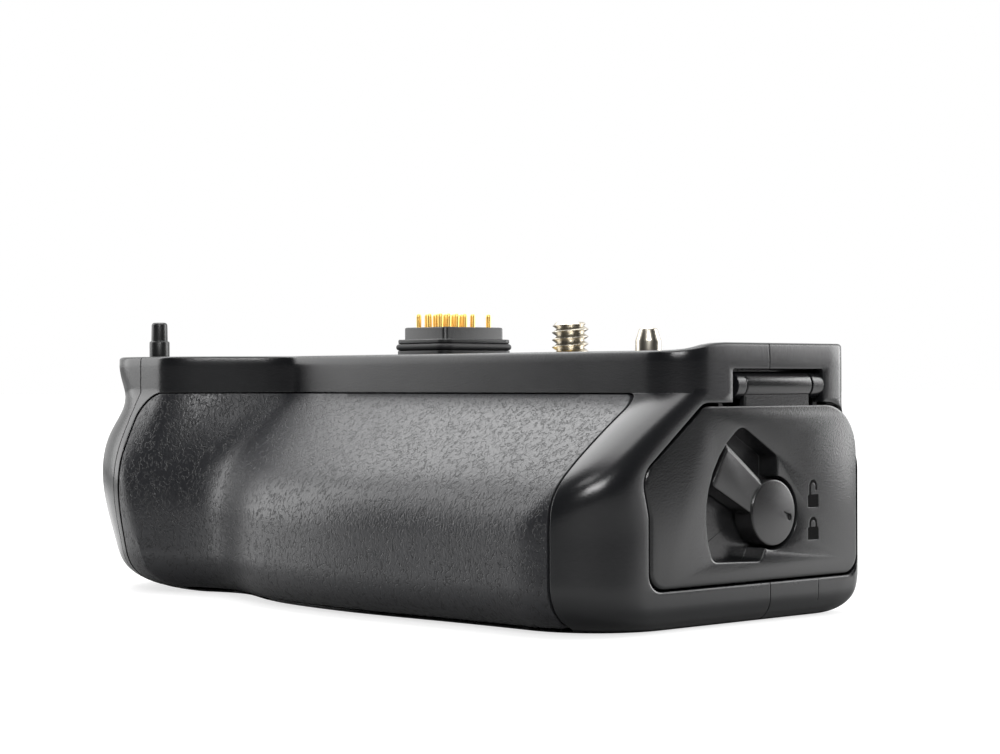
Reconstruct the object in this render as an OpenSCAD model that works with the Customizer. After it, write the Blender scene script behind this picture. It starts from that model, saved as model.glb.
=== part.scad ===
// Vertical battery grip for a camera, in millimetres.
// The origin is the mouth of the tripod socket in the base. +X points to the battery door,
// +Y to the rear and +Z up to the camera that sits on the grip.

/* [Body] */
// Distance from the screw axis to the door end
end_x = 43.9; // [43.5:0.1:48]
// Distance from the screw axis to the far end of the rim
left_x = 92.7; // [92:0.1:104]
// Distance from the screw axis to the front wall of the rim
rim_y = 20; // [19.5:0.1:22]
// How much further the rear wall of the rim is from the screw axis
rim_back = 1.4; // [0:0.1:1.6]
// Height of the top face
top_z = 43.5; // [43:0.1:46]
// Height of the raised lip over the door end
lip_h = 1.3; // [0.6:0.1:2]
// Thickness of the shell walls
wall = 2.2; // [1.8:0.1:2.4]
// Thickness of the plates let into the top and the base
plate_t = 1.6; // [1.2:0.1:2]
// Where the front and rear shells meet, measured from the screw axis
part_y = 1.5; // [-2:0.5:4]

/* [Grip form] */
// Height of the seam between the rim and the grip skin
seam_z = 36.8; // [36:0.1:38]
// Height of the foremost line of the long ridge
crest_z = 19; // [16:0.5:22]
// Reach of the long ridge forward of the screw axis
ridge_y = 42; // [39:0.5:46]
// Reach of the hand lobe's rim forward of the rim wall
lobe_rim = 17; // [13:0.5:19]
// Reach of the hand lobe beyond the long ridge
lobe_out = 3; // [0:0.5:5]
// Depth of the finger valley between ridge and lobe
valley_d = 5.5; // [4:0.5:8]
// Distance of the finger valley from the screw axis
valley_x = 55; // [50:0.5:60]
// Radius of the front corner at the door end
corner_r = 14; // [11:0.5:15]
// Radius of the front corner at the lobe
lobe_r = 24.5; // [18:0.5:27]
// How far the rear swells below the rim
rear_flare = 4.2; // [3.5:0.1:6]
// How far the far end swells below the rim
left_flare = 4; // [3:0.1:5]
// How far the far end draws in under its rim
left_waist = 3.3; // [2:0.1:4]
// Thickness of the rubber grip skin
skin_t = 1; // [0.7:0.1:1.2]

/* [Battery door] */
// Thickness of the door plate
door_t = 2.2; // [1.8:0.1:2.6]
// Gap round the door
door_gap = 0.3; // [0.2:0.05:0.5]
// Height of the door's lower edge
door_bottom = 6.7; // [6:0.1:7]
// Height of the door's upper edge
door_top = 34.9; // [34.6:0.1:35.2]
// How far the door reaches past the front wall of the well
door_margin = 4.7; // [4:0.1:5.5]
// Rear edge of the door, behind the screw axis
door_rear = 23.8; // [22.5:0.1:24]
// Diameter of the hinge barrel
hinge_d = 4.35; // [4:0.05:4.5]
// Height of the hinge axis
hinge_z = 38; // [37.8:0.05:38.2]
// Diameter of the hinge pin
hinge_pin_d = 1.5; // [1.2:0.1:2]

/* [Latch] */
// Knob axis behind the screw axis
knob_y = 2.4; // [1:0.1:4]
// Height of the knob axis
knob_z = 17.5; // [17:0.1:19]
// Diameter of the knob disc
knob_d = 10.7; // [9:0.1:11]
// Reach of the knob's wing
wing_reach = 15.3; // [13:0.1:15.3]
// Depth of the pocket round the knob
pocket_depth = 4; // [3:0.1:4.2]

/* [Battery well] */
// Width of the well
well_w = 38; // [34:0.5:38]
// Height of the well
well_h = 22.6; // [22.2:0.1:23]
// Depth of the well behind the door end
well_depth = 57; // [50:0.5:60]
// Wall of the battery chamber
well_wall = 1.5; // [1.2:0.1:1.6]

/* [Camera fixing] */
// Diameter of the tripod thread
thread_d = 6.35; // [6:0.05:9.525]
// Pitch of the tripod thread
thread_pitch = 1.27; // [1:0.01:1.6]
// Height of the tripod screw above the top face
screw_up = 5.5; // [4.5:0.1:6.5]
// Depth of the tripod socket in the base
socket_depth = 6; // [4.5:0.1:6.2]
// Distance of the metal guide pin from the screw
guide_x = 18.6; // [15:0.1:22]
// Diameter of the metal guide pin
guide_d = 4.4; // [3.5:0.1:5]
// Diameter of the plastic guide pin
peg_d = 3.8; // [3.2:0.1:4.5]

/* [Connector] */
// Centre of the connector, measured from the screw axis to the far end
conn_x = 30.35; // [28:0.05:33]
// Length of the connector along the grip
conn_l = 10.9; // [9:0.1:13]
// Width of the connector across the grip
conn_w = 13.4; // [11:0.1:16]
// Height of the connector above the top face
conn_h = 5.1; // [4.5:0.1:6]
// Diameter of a contact pin
cpin_d = 0.9; // [0.6:0.05:0.95]

/* [Controls] */
// Diameter of the release button
button_d = 9.2; // [8:0.1:9.4]
// Diameter of the dial round the release button
ring_d = 16.2; // [14.5:0.1:16.6]
// Diameter of the rear dial
dial_d = 17; // [14:0.1:17.4]
// Diameter of a function button
fn_d = 6.4; // [5:0.1:7]
// Pressing stroke of the buttons
stroke = 0.8; // [0.5:0.1:1]

/* [Hidden] */
$fn = 48;
fit = 0.05;
slack = 0.3;
seat = 0.02;
big = 200;

// Form of the body
corner_rim = 7;
lobe_rim_r = 12;
rear_left_r = 12;
rear_right_r = 2.5;
base_round = 8;
rear_round = 7;
end_round = 4;
left_round = 5.5;
bulge_z = 20;
bulge_half = 12.5;
waist_z = seam_z - 2;
waist_half = 4.7;
rim_flat = top_z - plate_t - 0.2;
cap_x = left_x - 15.7;
slope_power = 1.3;
corner_power = 8;
rim_step_len = 19;
rim_step_x = valley_x - 3;
ridge_swell = 2;
ridge_mid = 14;
ridge_half = 22;
valley_half = 13;
lobe_start = valley_x + 7;
lobe_len = 14;
flare_top = seam_z - 1.8;
flare_len = 11;
skin_low = 2;
skin_right = end_x - 7.9;
skin_left = cap_x - 1.9;
skin_gap = 0.1;

// Door, hinge and latch
face_in = end_x - door_t;
hinge_x = end_x - hinge_d / 2;
hinge_y0 = -7.3;
hinge_y1 = 15.1;
knuckle_l = 3.2;
recess_top = hinge_z + 2.6;
bracket_x = hinge_x - hinge_d / 2 - 0.2;
bracket_t = 1.2;
relief_gap = 0.15;
door_round = 8;
kink_z = door_top - 10.5;
kink_out = 1.6;
web_back = 0.7;
knuckle_gap = 1.3;
pocket_r = wing_reach + 0.7;
pocket_wall = 1;
pocket_x = end_x - pocket_depth;
cup_x = pocket_x - pocket_wall;
wing_angle = 148.5;
shaft_d = 3;
cam_t = 1.2;
seal_t = 0.4;
seal_w = 1.1;

// Battery well
mouth_x = face_in - seal_t - 0.1;
well_x = end_x - well_depth;
well_y1 = rim_y - 3.7;
well_y0 = well_y1 - well_w;
well_z0 = 9;
well_z1 = well_z0 + well_h;
well_key = 6;
door_front = door_margin - well_y0;
top_y0 = well_y0 + door_margin + 3;

// Screw drive
tooth_m = 0.6;
screw_teeth = 18;
wheel_teeth = 27;
wheel_y = tooth_m * (screw_teeth + wheel_teeth) / 2;
tray_z = well_z1 + well_wall + 1;
tray_t = 1.4;
gear_z = tray_z + tray_t + slack;
gear_t = 2;
plate_z = top_z - plate_t;
journal_r = 2;
bush_r = thread_d / 2 + 1;
axle_r = 1.5;
wheel_tip = tooth_m * (wheel_teeth / 2 + 1);

// Controls
rel_y = -6;
rel_z = bulge_z + 1;
rel_x = left_x + left_flare;
rear_y0 = rim_y + rim_back + rear_flare;
dial_x = -74;
dial_z = 15.5;
fn_step = 11;
fn_x = [dial_x + 18, dial_x + 18 + fn_step];
fn_z = 18;
lock_x = fn_x[1] + 14;
lock_travel = 3;
board_y = rear_y0 - wall - 4.8;
board_t = 1.2;

// Smooth step from 0 to 1
function ease(t) = let (c = min(1, max(0, t))) c * c * (3 - 2 * c);

// Bell curve of height 1 about a middle
function bell(x, mid, half) = exp(-pow((x - mid) / half, 2));

// Inset of a rounded lower edge at a height
function inward(z, r) = z >= r ? 0 : r - sqrt(r * r - (r - z) * (r - z));

// Share of the way from the rim out to the crest at a height
function profile(z) =
  z >= seam_z ? 0
  : z <= crest_z ? 1
  : 1 - pow((z - crest_z) / (seam_z - crest_z), slope_power);

// Reach of the rim's front wall
function rim_front(x) = rim_y + lobe_rim * ease((-x - rim_step_x) / rim_step_len);

// Reach of the crest: the long ridge, the finger valley and the hand lobe
function low_front(x) =
  ridge_y + ridge_swell * bell(x, -ridge_mid, ridge_half)
  - valley_d * bell(x, -valley_x, valley_half)
  + lobe_out * ease((-x - lobe_start) / lobe_len);

function front_y(x, z) =
  rim_front(x) + (low_front(x) - rim_front(x)) * profile(z) - inward(z, base_round);

function rear_y(z) =
  rim_y + rim_back + rear_flare * ease((flare_top - z) / flare_len) - inward(z, rear_round);

function far_x(z) =
  let (h = min(z, rim_flat))
  left_waist * bell(h, waist_z, waist_half) - left_flare * bell(h, bulge_z, bulge_half)
  - left_x + inward(z, left_round);

// Points of an arc about a centre
function arc(c, r, a0, a1, n) = [
  for (i = [0 : n]) let (a = a0 + (a1 - a0) * i / n) c + r * [cos(a), sin(a)]
];

// Plan outline at a height, moved inward by d
function outline(z, d) =
  let (
    xr = end_x - inward(z, end_round) - d,
    xl = far_x(z) + d,
    rf = corner_rim + (corner_r - corner_rim) * pow(profile(z), corner_power) - d,
    rl = lobe_rim_r + (lobe_r - lobe_rim_r) * profile(z) - d,
    rb = rear_left_r - d,
    rr = max(0.5, rear_right_r - d),
    yb = rear_y(z) - d,
    xa = xl + rl,
    xb = xr - rf,
    n = 30
  )
  concat(
    arc([xr - rr, yb - rr], rr, 0, 90, 3),
    arc([xl + rb, yb - rb], rb, 90, 180, 6),
    arc([xa, rl + d - front_y(xa, z)], rl, 180, 270, 9),
    [for (i = [1 : n - 1]) let (x = xa + (xb - xa) * i / n) [x, d - front_y(x, z)]],
    arc([xb, rf + d - front_y(xb, z)], rf, 270, 360, 7)
  );

// Heights of the sections, closer together where the base is rounded
function heights(z0, z1) =
  let (
    low = [for (i = [1 : 6]) left_round * (1 - cos(15 * i))],
    mid = [for (i = [1 : 9]) left_round + (seam_z - left_round) * i / 9],
    high = [for (i = [1 : 3]) seam_z + (rim_flat - seam_z) * i / 3]
  )
  concat([z0], [for (z = concat(low, mid, high)) if (z > z0 + slack && z < z1 - slack) z], [z1]);

// Solid through the plan outlines between two heights
module loft(d, z0, z1) {
  zs = heights(z0, z1);
  rings = [for (z = zs) outline(max(0, z), d)];
  n = len(rings[0]);
  m = len(zs);
  points = [for (k = [0 : m - 1]) for (p = rings[k]) [p.x, p.y, zs[k]]];
  sides = [
    for (k = [0 : m - 2]) for (i = [0 : n - 1])
      let (j = (i + 1) % n, a = k * n + i, b = k * n + j)
      for (f = [[a, a + n, b + n], [a, b + n, b]]) f
  ];
  caps = [[for (i = [0 : n - 1]) i], [for (i = [0 : n - 1]) m * n - 1 - i]];
  polyhedron(points, concat(sides, caps));
}

// Polygon whose corners [y, z, radius] are rounded
function rounded(c) = [
  for (i = [0 : len(c) - 1])
    let (
      p = [c[i].x, c[i].y],
      a = [c[(i + len(c) - 1) % len(c)].x, c[(i + len(c) - 1) % len(c)].y] - p,
      b = [c[(i + 1) % len(c)].x, c[(i + 1) % len(c)].y] - p,
      ua = a / norm(a),
      ub = b / norm(b),
      half = acos(ua * ub) / 2,
      r = c[i].z,
      q = p + (ua + ub) / norm(ua + ub) * r / sin(half),
      s = p + ua * r / tan(half) - q,
      turn = sign(ua.x * ub.y - ua.y * ub.x) * (180 - 2 * half)
    )
    for (k = [0 : 5]) let (w = -turn * k / 5) q + [s.x * cos(w) - s.y * sin(w), s.x * sin(w) + s.y * cos(w)]
];

// Rectangle with round corners, centred
function rounded_box(w, l, r) = rounded([
  for (s = [[-1, -1], [1, -1], [1, 1], [-1, 1]]) [s.x * w / 2, s.y * l / 2, r]
]);

// Stand a profile drawn in [y, z] upright and give it thickness from x0 to x1
module along_x(x0, x1) {
  translate([x0, 0, 0]) rotate([90, 0, 90]) linear_extrude(x1 - x0) children();
}

// Round bar along +X
module bar_x(x0, x1, r) {
  translate([x0, 0, 0]) rotate([0, 90, 0]) cylinder(h = x1 - x0, r = r);
}

// Round bar along +Y
module bar_y(y0, y1, r) {
  translate([0, y0, 0]) rotate([-90, 0, 0]) cylinder(h = y1 - y0, r = r);
}

// Block between two corners
module block(a, b) {
  translate(a) cube(b - a);
}

// Outer form of the two shells together, with the raised lip over the door end
module body_form() {
  lip_y1 = -9.4;
  lip_y0 = -19.6;
  lip_x = end_x - corner_rim;
  intersection() {
    loft(0, 0, top_z + lip_h);
    union() {
      block([-big, -big, -1], [lip_x, big, top_z]);
      along_x(lip_x - 1, big)
        polygon([
          [-big, -1], [big, -1], [big, top_z + 2 * lip_h], [2 * lip_y1 - lip_y0, top_z + 2 * lip_h],
          [lip_y0, top_z], [-big, top_z]
        ]);
    }
  }
}

// Plan of everything in front of the parting line, which turns forward at the far end's cap
module front_plan(shift) {
  polygon([[big, part_y - shift], [shift - cap_x, part_y - shift], [shift - cap_x, -big], [big, -big]]);
}

// Front view of the grip skin in [x, z]
module skin_face(grow) {
  top = seam_z - skin_gap + grow / 2;
  polygon(rounded([
    [-skin_left - grow, skin_low - grow, 1], [skin_right + grow, skin_low - grow, 1],
    [skin_right + grow, top, 3], [-skin_left - grow, top, 5]
  ]));
}

// Doorway corners [y, z, radius], grown by g
function door_corners(g) = [
  [-door_front - g, door_bottom - g, 3], [door_rear + g, door_bottom - g, 3],
  [door_rear + g, door_top + g, door_round + g], [top_y0 - g / 2, door_top + g, 3.5],
  [-door_front - kink_out - g, kink_z, 4],
  [-door_front - g, kink_z - 6.4, 3]
];

base_x0 = -72;
base_x1 = 34;
base_y0 = -20;
base_y1 = 12;
base_posts = [for (x = [base_x0 + 3, base_x1 - 3]) for (y = [base_y0 + 3, base_y1 - 3]) [x, y]];
top_posts = [
  for (y = [-8, 8]) [-left_x + wall + 2, y],
  for (y = [wall + 2.2 - rim_y, rim_y + rim_back - wall - 2.2]) [28, y]
];
post_r = 2.4;
post_z = 7;
ledge = 5;
screw_r = 0.9;
head_r = 1.7;
head_t = 0.9;
head_sink = 0.1;
base_screw_l = 5;
top_screw_l = 6;
board_screw_l = 5.5;
hinge_screw_l = 3.1;
flange_t = 1.4;

module base_plan(gap) {
  translate([(base_x0 + base_x1) / 2, (base_y0 + base_y1) / 2])
    polygon(rounded_box(base_x1 - base_x0 + 2 * gap, base_y1 - base_y0 + 2 * gap, 4));
}

// Both shells before they are parted
module shells() {
  difference() {
    union() {
      difference() {
        body_form();
        loft(wall, wall, top_z + lip_h + 1);
      }
      intersection() {
        body_form();
        union() {
          for (p = top_posts)
            translate([p.x, p.y, top_z - 10]) cylinder(h = 10 - plate_t - seat, r = post_r, $fn = 16);
          for (p = base_posts) translate([p.x, p.y, 0]) cylinder(h = post_z, r = post_r, $fn = 16);
        }
      }
    }
    translate([0, 0, -1]) linear_extrude(plate_t + seat + 1) base_plan(skin_gap);
    difference() {
      translate([0, 0, -1]) linear_extrude(wall + 2) base_plan(-ledge);
      for (p = base_posts) translate([p.x, p.y, 0]) cylinder(h = post_z, r = post_r, $fn = 16);
    }
    for (p = base_posts) translate([p.x, p.y, -1]) cylinder(h = post_z, r = screw_r + fit, $fn = 16);
    along_x(face_in - 1, big) polygon(rounded(door_corners(door_gap)));
    block([bracket_x - bracket_t, hinge_y0, door_top - 0.5], [big, hinge_y1, recess_top]);
    for (p = top_posts) translate([p.x, p.y, top_z - 9]) cylinder(h = big, r = screw_r + fit, $fn = 16);
    translate([0, rel_y, rel_z]) bar_x(-big, -rel_x + 8, ring_d / 2 + 1.6);
    translate([dial_x, 0, dial_z]) bar_y(rear_y0 - wall - 2, big, dial_d / 2 + 0.4);
    for (x = fn_x) translate([x, 0, fn_z]) bar_y(rear_y0 - wall - 2, big, fn_d / 2 + slack);
    block([lock_x - 2.8, rear_y0 - wall - 2, fn_z - 2], [lock_x + lock_travel + 2.8, big, fn_z + 2]);
    translate([0, wheel_y, gear_z - slack]) cylinder(h = plate_z - gear_z + slack, r = wheel_tip + 0.5);
  }
}

module skin_zone(depth, grow) {
  intersection() {
    difference() {
      loft(-1, skin_low - grow, seam_z + 1);
      loft(depth, -1, seam_z + 2);
    }
    translate([0, grow - corner_r, 0]) rotate([90, 0, 0]) linear_extrude(big) skin_face(grow);
  }
}

module front_shell() {
  color("#303234") resize([0, 0, 0]) difference() {
    intersection() {
      shells();
      translate([0, 0, -1]) linear_extrude(big) front_plan(0);
    }
    skin_zone(skin_t + seat, skin_gap);
  }
}

module rear_shell() {
  color("#2e3032") resize([0, 0, 0]) difference() {
    shells();
    translate([0, 0, -1]) linear_extrude(big) front_plan(-seat);
  }
}

module grip_rubber() {
  color("#2a2c30") resize([0, 0, 0]) intersection() {
    skin_zone(skin_t, 0);
    loft(0, 0, top_z);
  }
}

// Plan just inside the rim walls
module rim_inside() {
  polygon(outline(top_z - 1, wall + skin_gap));
}

module top_plate() {
  color("#2c2e30") difference() {
    union() {
      translate([0, 0, plate_z]) linear_extrude(plate_t) rim_inside();
      for (y = board_screw_y)
        translate([board_screw_x, y, board_z + pcb_t]) cylinder(h = plate_z - board_z - pcb_t, r = post_r);
    }
    for (y = board_screw_y) translate([board_screw_x, y, 0]) cylinder(h = plate_z + 0.5, r = screw_r + fit);
    translate([0, 0, plate_z - 1]) cylinder(h = plate_t + 2, r = bush_r + seat);
    translate([guide_x, 0, plate_z - 1]) cylinder(h = plate_t + 2, r = guide_d / 4 + seat);
    translate([peg_x, peg_y, plate_z - 1]) cylinder(h = plate_t + 2, r = peg_d / 4 + seat);
    translate([-conn_x, 0, plate_z - 1]) linear_extrude(plate_t + 2) conn_plan(seat);
    for (p = top_posts) {
      translate([p.x, p.y, plate_z - 1]) cylinder(h = plate_t + 2, r = screw_r + fit);
      translate([p.x, p.y, top_z - head_sink - head_t - seat]) cylinder(h = 2, r = head_r + fit);
    }
    for (y = hinge_screw_y)
      translate([hinge_screw_x, y, plate_z - 1]) cylinder(h = plate_t + 0.4, r = screw_r + fit);
  }
}

module base_plate() {
  color("#26282a") difference() {
    linear_extrude(plate_t) base_plan(0);
    translate([0, 0, -1]) cylinder(h = plate_t + 2, r = socket_r + seat);
    for (p = base_posts) {
      translate([p.x, p.y, -1]) cylinder(h = 6, r = screw_r + fit);
      translate([p.x, p.y, -1]) cylinder(h = 1 + head_sink + head_t + seat, r = head_r + fit);
    }
  }
}

socket_r = thread_d / 2 + 2.2;

module tripod_socket() {
  color("#b9b8b2") difference() {
    union() {
      cylinder(h = well_z0 - well_wall - seat, r = socket_r);
      translate([0, 0, plate_t + seat]) cylinder(h = 1.6, r = socket_r + 1.2);
    }
    translate([0, 0, -1]) cylinder(h = socket_depth + 1, r = thread_d / 2);
  }
}

// Battery well corners [y, z, radius], grown by g, with one corner cut off so that a pack fits one way
function well_corners(g) = [
  [well_y0 - g, well_z0 - g, 1], [well_y1 + g, well_z0 - g, 1], [well_y1 + g, well_z1 + g, 1],
  [well_y0 + well_key - g * 0.4, well_z1 + g, 1], [well_y0 - g, well_z1 - well_key + g * 0.4, 1]
];

catch_len = 10;
catch_x1 = mouth_x - 5.4;
catch_x0 = catch_x1 - catch_len;
catch_z0 = 13;
catch_z1 = 18;
catch_y = well_y0 - well_wall / 2;
catch_pin_r = 0.45;
contact_y = [for (i = [-2 : 2]) (well_y0 + well_y1) / 2 + 4 * i];
contact_z = well_z0 + 6;
blade_t = 0.6;
blade_w = 6;
blade_x = well_x - well_wall - 2.2;
keeper_reach = 9.3;

// Contact blade between two distances along the well, grown by g
module blade(y, x0, x1, g) {
  block([x0, y - blade_t / 2 - g, contact_z - g], [x1, y + blade_t / 2 + g, contact_z + blade_w + g]);
}

module battery_chamber() {
  color("#3a3c3e") difference() {
    along_x(well_x - well_wall, mouth_x) polygon(rounded(well_corners(well_wall)));
    along_x(well_x, mouth_x + 1) polygon(rounded(well_corners(0)));
    // Slot of the battery catch in the front wall
    block(
      [catch_x0 - 1.2, well_y0 - well_wall - 1, catch_z0 - slack],
      [catch_x1 + slack, well_y0 + 1, catch_z1 + slack]
    );
    translate([catch_x0, catch_y, catch_z0 - 2])
      cylinder(h = catch_z1 - catch_z0 + 4, r = catch_pin_r + seat);
    // Slots of the contact blades in the deep wall
    for (y = contact_y) blade(y, well_x - well_wall - 1, well_x + 1, seat);
    // Keeper slot in the floor, where the latch cam turns in
    block([cup_x - cam_t - 0.6, knob_y - 2.6, 0], [mouth_x + 1, knob_y + 7, well_z0 + 1]);
  }
}

module contact_block() {
  color("#1d1d1f") difference() {
    block(
      [blade_x - 1, contact_y[0] - 3, contact_z - 2],
      [well_x - well_wall - seat, contact_y[4] + 3, contact_z + blade_w + 2]
    );
    for (y = contact_y) blade(y, blade_x, well_x, seat);
  }
}

module battery_contacts() {
  color("#d8b45a") for (y = contact_y) blade(y, blade_x + seat, well_x + 1.6, 0);
}

// Leaf spring that pushes a pack out, bowed off the deep wall
module eject_spring() {
  bow = 3;
  leaf_t = 0.4;
  z0 = well_z0 + 15;
  mid_y = (well_y0 + well_y1) / 2;
  half_w = 13;
  steps = 12;
  function bowed(i) = [mid_y + half_w * (2 * i / steps - 1), well_x + seat + bow * sin(180 * i / steps)];
  color("#b4b6b8") translate([0, 0, z0]) linear_extrude(4)
    polygon(concat(
      [for (i = [0 : steps]) [bowed(i)[1], bowed(i)[0]]],
      [for (i = [steps : -1 : 0]) [bowed(i)[1] + leaf_t, bowed(i)[0]]]
    ));
}

module battery_catch() {
  color("#c46a2c") difference() {
    translate([0, 0, catch_z0]) linear_extrude(catch_z1 - catch_z0) union() {
      translate([catch_x0, catch_y]) circle(r = well_wall / 2);
      translate([catch_x0, catch_y - well_wall / 2]) square([catch_len, well_wall]);
      polygon([
        [catch_x1 - 3.4, catch_y], [catch_x1, catch_y], [catch_x1, well_y0 + 0.8],
        [catch_x1 - 0.8, well_y0 + 1.2], [catch_x1 - 1.4, well_y0 + 1.2]
      ]);
    }
    translate([catch_x0, catch_y, catch_z0 - 1]) cylinder(h = catch_z1 - catch_z0 + 2, r = catch_pin_r + fit);
  }
}

module catch_pin() {
  color("#b4b6b8") translate([catch_x0, catch_y, catch_z0 - 2 + seat])
    cylinder(h = catch_z1 - catch_z0 + 4 - 2 * seat, r = catch_pin_r);
}

// Dished pocket round the knob, drawn in [y, z] about the knob axis and grown by g
module pocket_shape(g) {
  small = knob_d / 2 + 0.7 + g;
  polygon(concat(
    arc([0, 0], pocket_r + g, 130, 203, 14),
    [[-3.7, -7 - g]],
    arc([0, 0], small, 245, 420, 16),
    [[0.8 + g, 9 + g * 0.8]]
  ));
}

// Distance from the hinge axis to the outer edge of the door at a height, with a little to spare
function swing_r(z) = norm([end_x - hinge_x, hinge_z - z]) + relief_gap;

// What the upper edges of the doorway sweep as the door turns under them: the door keeps out of it
module edge_relief() {
  rotate([-90, 0, 0]) rotate_extrude() polygon(concat(
    [[0, -door_front - 6], [swing_r(kink_z), -door_front - kink_out], [swing_r(door_top), top_y0]],
    [
      for (a = [0 : 15 : 90])
        [swing_r(door_top - door_round * (1 - cos(a))), door_rear - door_round * (1 - sin(a))]
    ],
    [[0, door_rear + 6]]
  ));
}

barrel_y0 = hinge_y0 + knuckle_l + slack;
barrel_y1 = hinge_y1 - knuckle_l + 0.6 - slack;

module battery_door() {
  color("#333537") difference() {
    union() {
      difference() {
        along_x(face_in, end_x) polygon(rounded(door_corners(0)));
        translate([hinge_x, 0, hinge_z]) edge_relief();
      }
      translate([0, knob_y, knob_z]) along_x(cup_x, face_in + 0.5) pocket_shape(pocket_wall);
      translate([hinge_x, 0, hinge_z]) bar_y(barrel_y0, barrel_y1, hinge_d / 2);
      block([face_in + 0.4, barrel_y0, door_top - 2], [end_x - web_back, barrel_y1, hinge_z]);
    }
    translate([0, knob_y, knob_z]) along_x(pocket_x, end_x + 1) pocket_shape(0);
    translate([0, knob_y, knob_z]) bar_x(cup_x - 1, end_x, shaft_d / 2 + fit);
    translate([hinge_x, 0, hinge_z]) bar_y(barrel_y0 - 1, barrel_y1 + 1, hinge_pin_d / 2 + fit);
  }
}

module door_seal() {
  color("#1b1b1c") difference() {
    along_x(face_in - seal_t, face_in) polygon(rounded(well_corners(0.2 + seal_w)));
    along_x(face_in - seal_t - 1, face_in + 1) polygon(rounded(well_corners(0.2)));
  }
}

hinge_screw_x = bracket_x - bracket_t - 3.2;
hinge_screw_y = [hinge_y0 + 4, hinge_y1 - 4];

// Fixed half of the hinge: a tray behind the recess with a knuckle at each end
module hinge_bracket() {
  z0 = well_z1 + well_wall + slack;
  z1 = plate_z - seat;
  x0 = bracket_x - bracket_t;
  x1 = min(face_in, end_x - wall) - skin_gap;
  color("#3c3e40") difference() {
    union() {
      difference() {
        block([x0, hinge_y0 - 1, z0], [x1, hinge_y1 + 1, z1]);
        block([bracket_x, hinge_y0, door_top - 0.5], [big, hinge_y1, recess_top]);
      }
      block([x0 - 6, hinge_y0 - 1, z1 - flange_t], [x0 + 0.5, hinge_y1 + 1, z1]);
      for (y = [[hinge_y0 + knuckle_gap, hinge_y0 + knuckle_l], [hinge_y1 - knuckle_l + 0.6, hinge_y1]]) {
        translate([hinge_x, 0, hinge_z]) bar_y(y[0], y[1], hinge_d / 2);
        block([bracket_x - 0.5, y[0], hinge_z - 1.6], [hinge_x, y[1], hinge_z + 1.6]);
      }
    }
    translate([hinge_x, 0, hinge_z]) bar_y(hinge_y0 - 2, hinge_y1 + 2, hinge_pin_d / 2 + seat);
    for (y = hinge_screw_y) translate([hinge_screw_x, y, z0]) cylinder(h = big, r = screw_r + fit);
  }
}

module hinge_pin() {
  color("#c2c3c4") translate([hinge_x, 0, hinge_z])
    bar_y(hinge_y0 + knuckle_gap + 0.1, hinge_y1 - 0.1, hinge_pin_d / 2);
}

// Fixing screw with its head at the bottom, pointing up
module up_screw(length) {
  cylinder(h = head_t, r = head_r);
  cylinder(h = length, r = screw_r);
}

module hinge_screws() {
  color("#8f9194") for (y = hinge_screw_y)
    translate([hinge_screw_x, y, plate_z - seat - flange_t - head_t - seat]) up_screw(hinge_screw_l);
}

module latch_knob() {
  x0 = pocket_x + slack;
  color("#2b2d2f") translate([0, knob_y, knob_z]) difference() {
    union() {
      bar_x(x0, end_x, knob_d / 2);
      along_x(x0, end_x) rotate(wing_angle)
        polygon(concat(
          [[0, 2.3], [0, -2.3], [knob_d / 2, -2.3]],
          arc([0, 0], wing_reach, -12.6, 12.6, 6),
          [[knob_d / 2, 2.3]]
        ));
      bar_x(cup_x - cam_t, x0 + 0.5, shaft_d / 2);
    }
    bar_x(cup_x - cam_t - 1, pocket_x + 2, screw_r + seat);
  }
}

module latch_cam() {
  x1 = cup_x - skin_gap;
  color("#9a9c9e") translate([0, knob_y, knob_z]) difference() {
    along_x(x1 - cam_t, x1) union() {
      circle(r = 3.6);
      translate([-1.8, -keeper_reach]) square([3.6, keeper_reach]);
    }
    bar_x(x1 - cam_t - 1, x1 + 1, shaft_d / 2 + seat);
  }
}

module latch_screw() {
  x0 = cup_x - skin_gap - cam_t - seat;
  color("#8f9194") translate([0, knob_y, knob_z]) {
    bar_x(x0 - head_t, x0, head_r + 0.6);
    bar_x(x0 - head_t, pocket_x + 1.8, screw_r);
  }
}

// Plan of the connector where it passes the top plate, grown by gap
module conn_plan(gap) {
  polygon(rounded_box(conn_l - 1 + 2 * gap, conn_w - 1 + 2 * gap, 1));
}

pcb_t = 1.6;
stem_z = plate_z - 3.3;
board_z = stem_z - seat - pcb_t;
board_x0 = -conn_x - 32;
board_x1 = -conn_x + 10;
board_half = rim_y - 6;
board_screw_x = board_x0 + 4;
board_screw_y = [-board_half + 4, board_half - 4];
gasket_z0 = top_z + 0.9;
gasket_z1 = top_z + 2.1;
lip_z1 = top_z + 2.9;
pin_step = [conn_l / 4.4, conn_w / 8.4];
pin_top = top_z + conn_h + 2.5;
// Places of the contact pins: three rows of seven with two left out, so that one stands apart
pin_places = [
  for (i = [-1 : 1]) for (j = [-3 : 3]) if (!(j == 2 && i > -1) && !(j == 3 && i < 1))
    [-conn_x + i * pin_step.x, j * pin_step.y]
];

// Layer of the connector between two heights, larger than its block by grow
module conn_layer(z0, z1, grow, r) {
  translate([-conn_x, 0, z0]) linear_extrude(z1 - z0) polygon(rounded_box(conn_l + grow, conn_w + grow, r));
}

module connector_housing() {
  color("#222426") difference() {
    union() {
      translate([-conn_x, 0, stem_z]) linear_extrude(top_z - stem_z) conn_plan(0);
      conn_layer(top_z, gasket_z0, 2.6, 2);
      conn_layer(gasket_z0, gasket_z1, 0.6, 1.2);
      conn_layer(gasket_z1, lip_z1, 2.4, 2);
      conn_layer(lip_z1, top_z + conn_h, 0, 0.8);
    }
    for (p = pin_places)
      translate([p.x, p.y, stem_z - 1]) cylinder(h = pin_top, r = cpin_d / 2 + seat, $fn = 24);
  }
}

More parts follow.
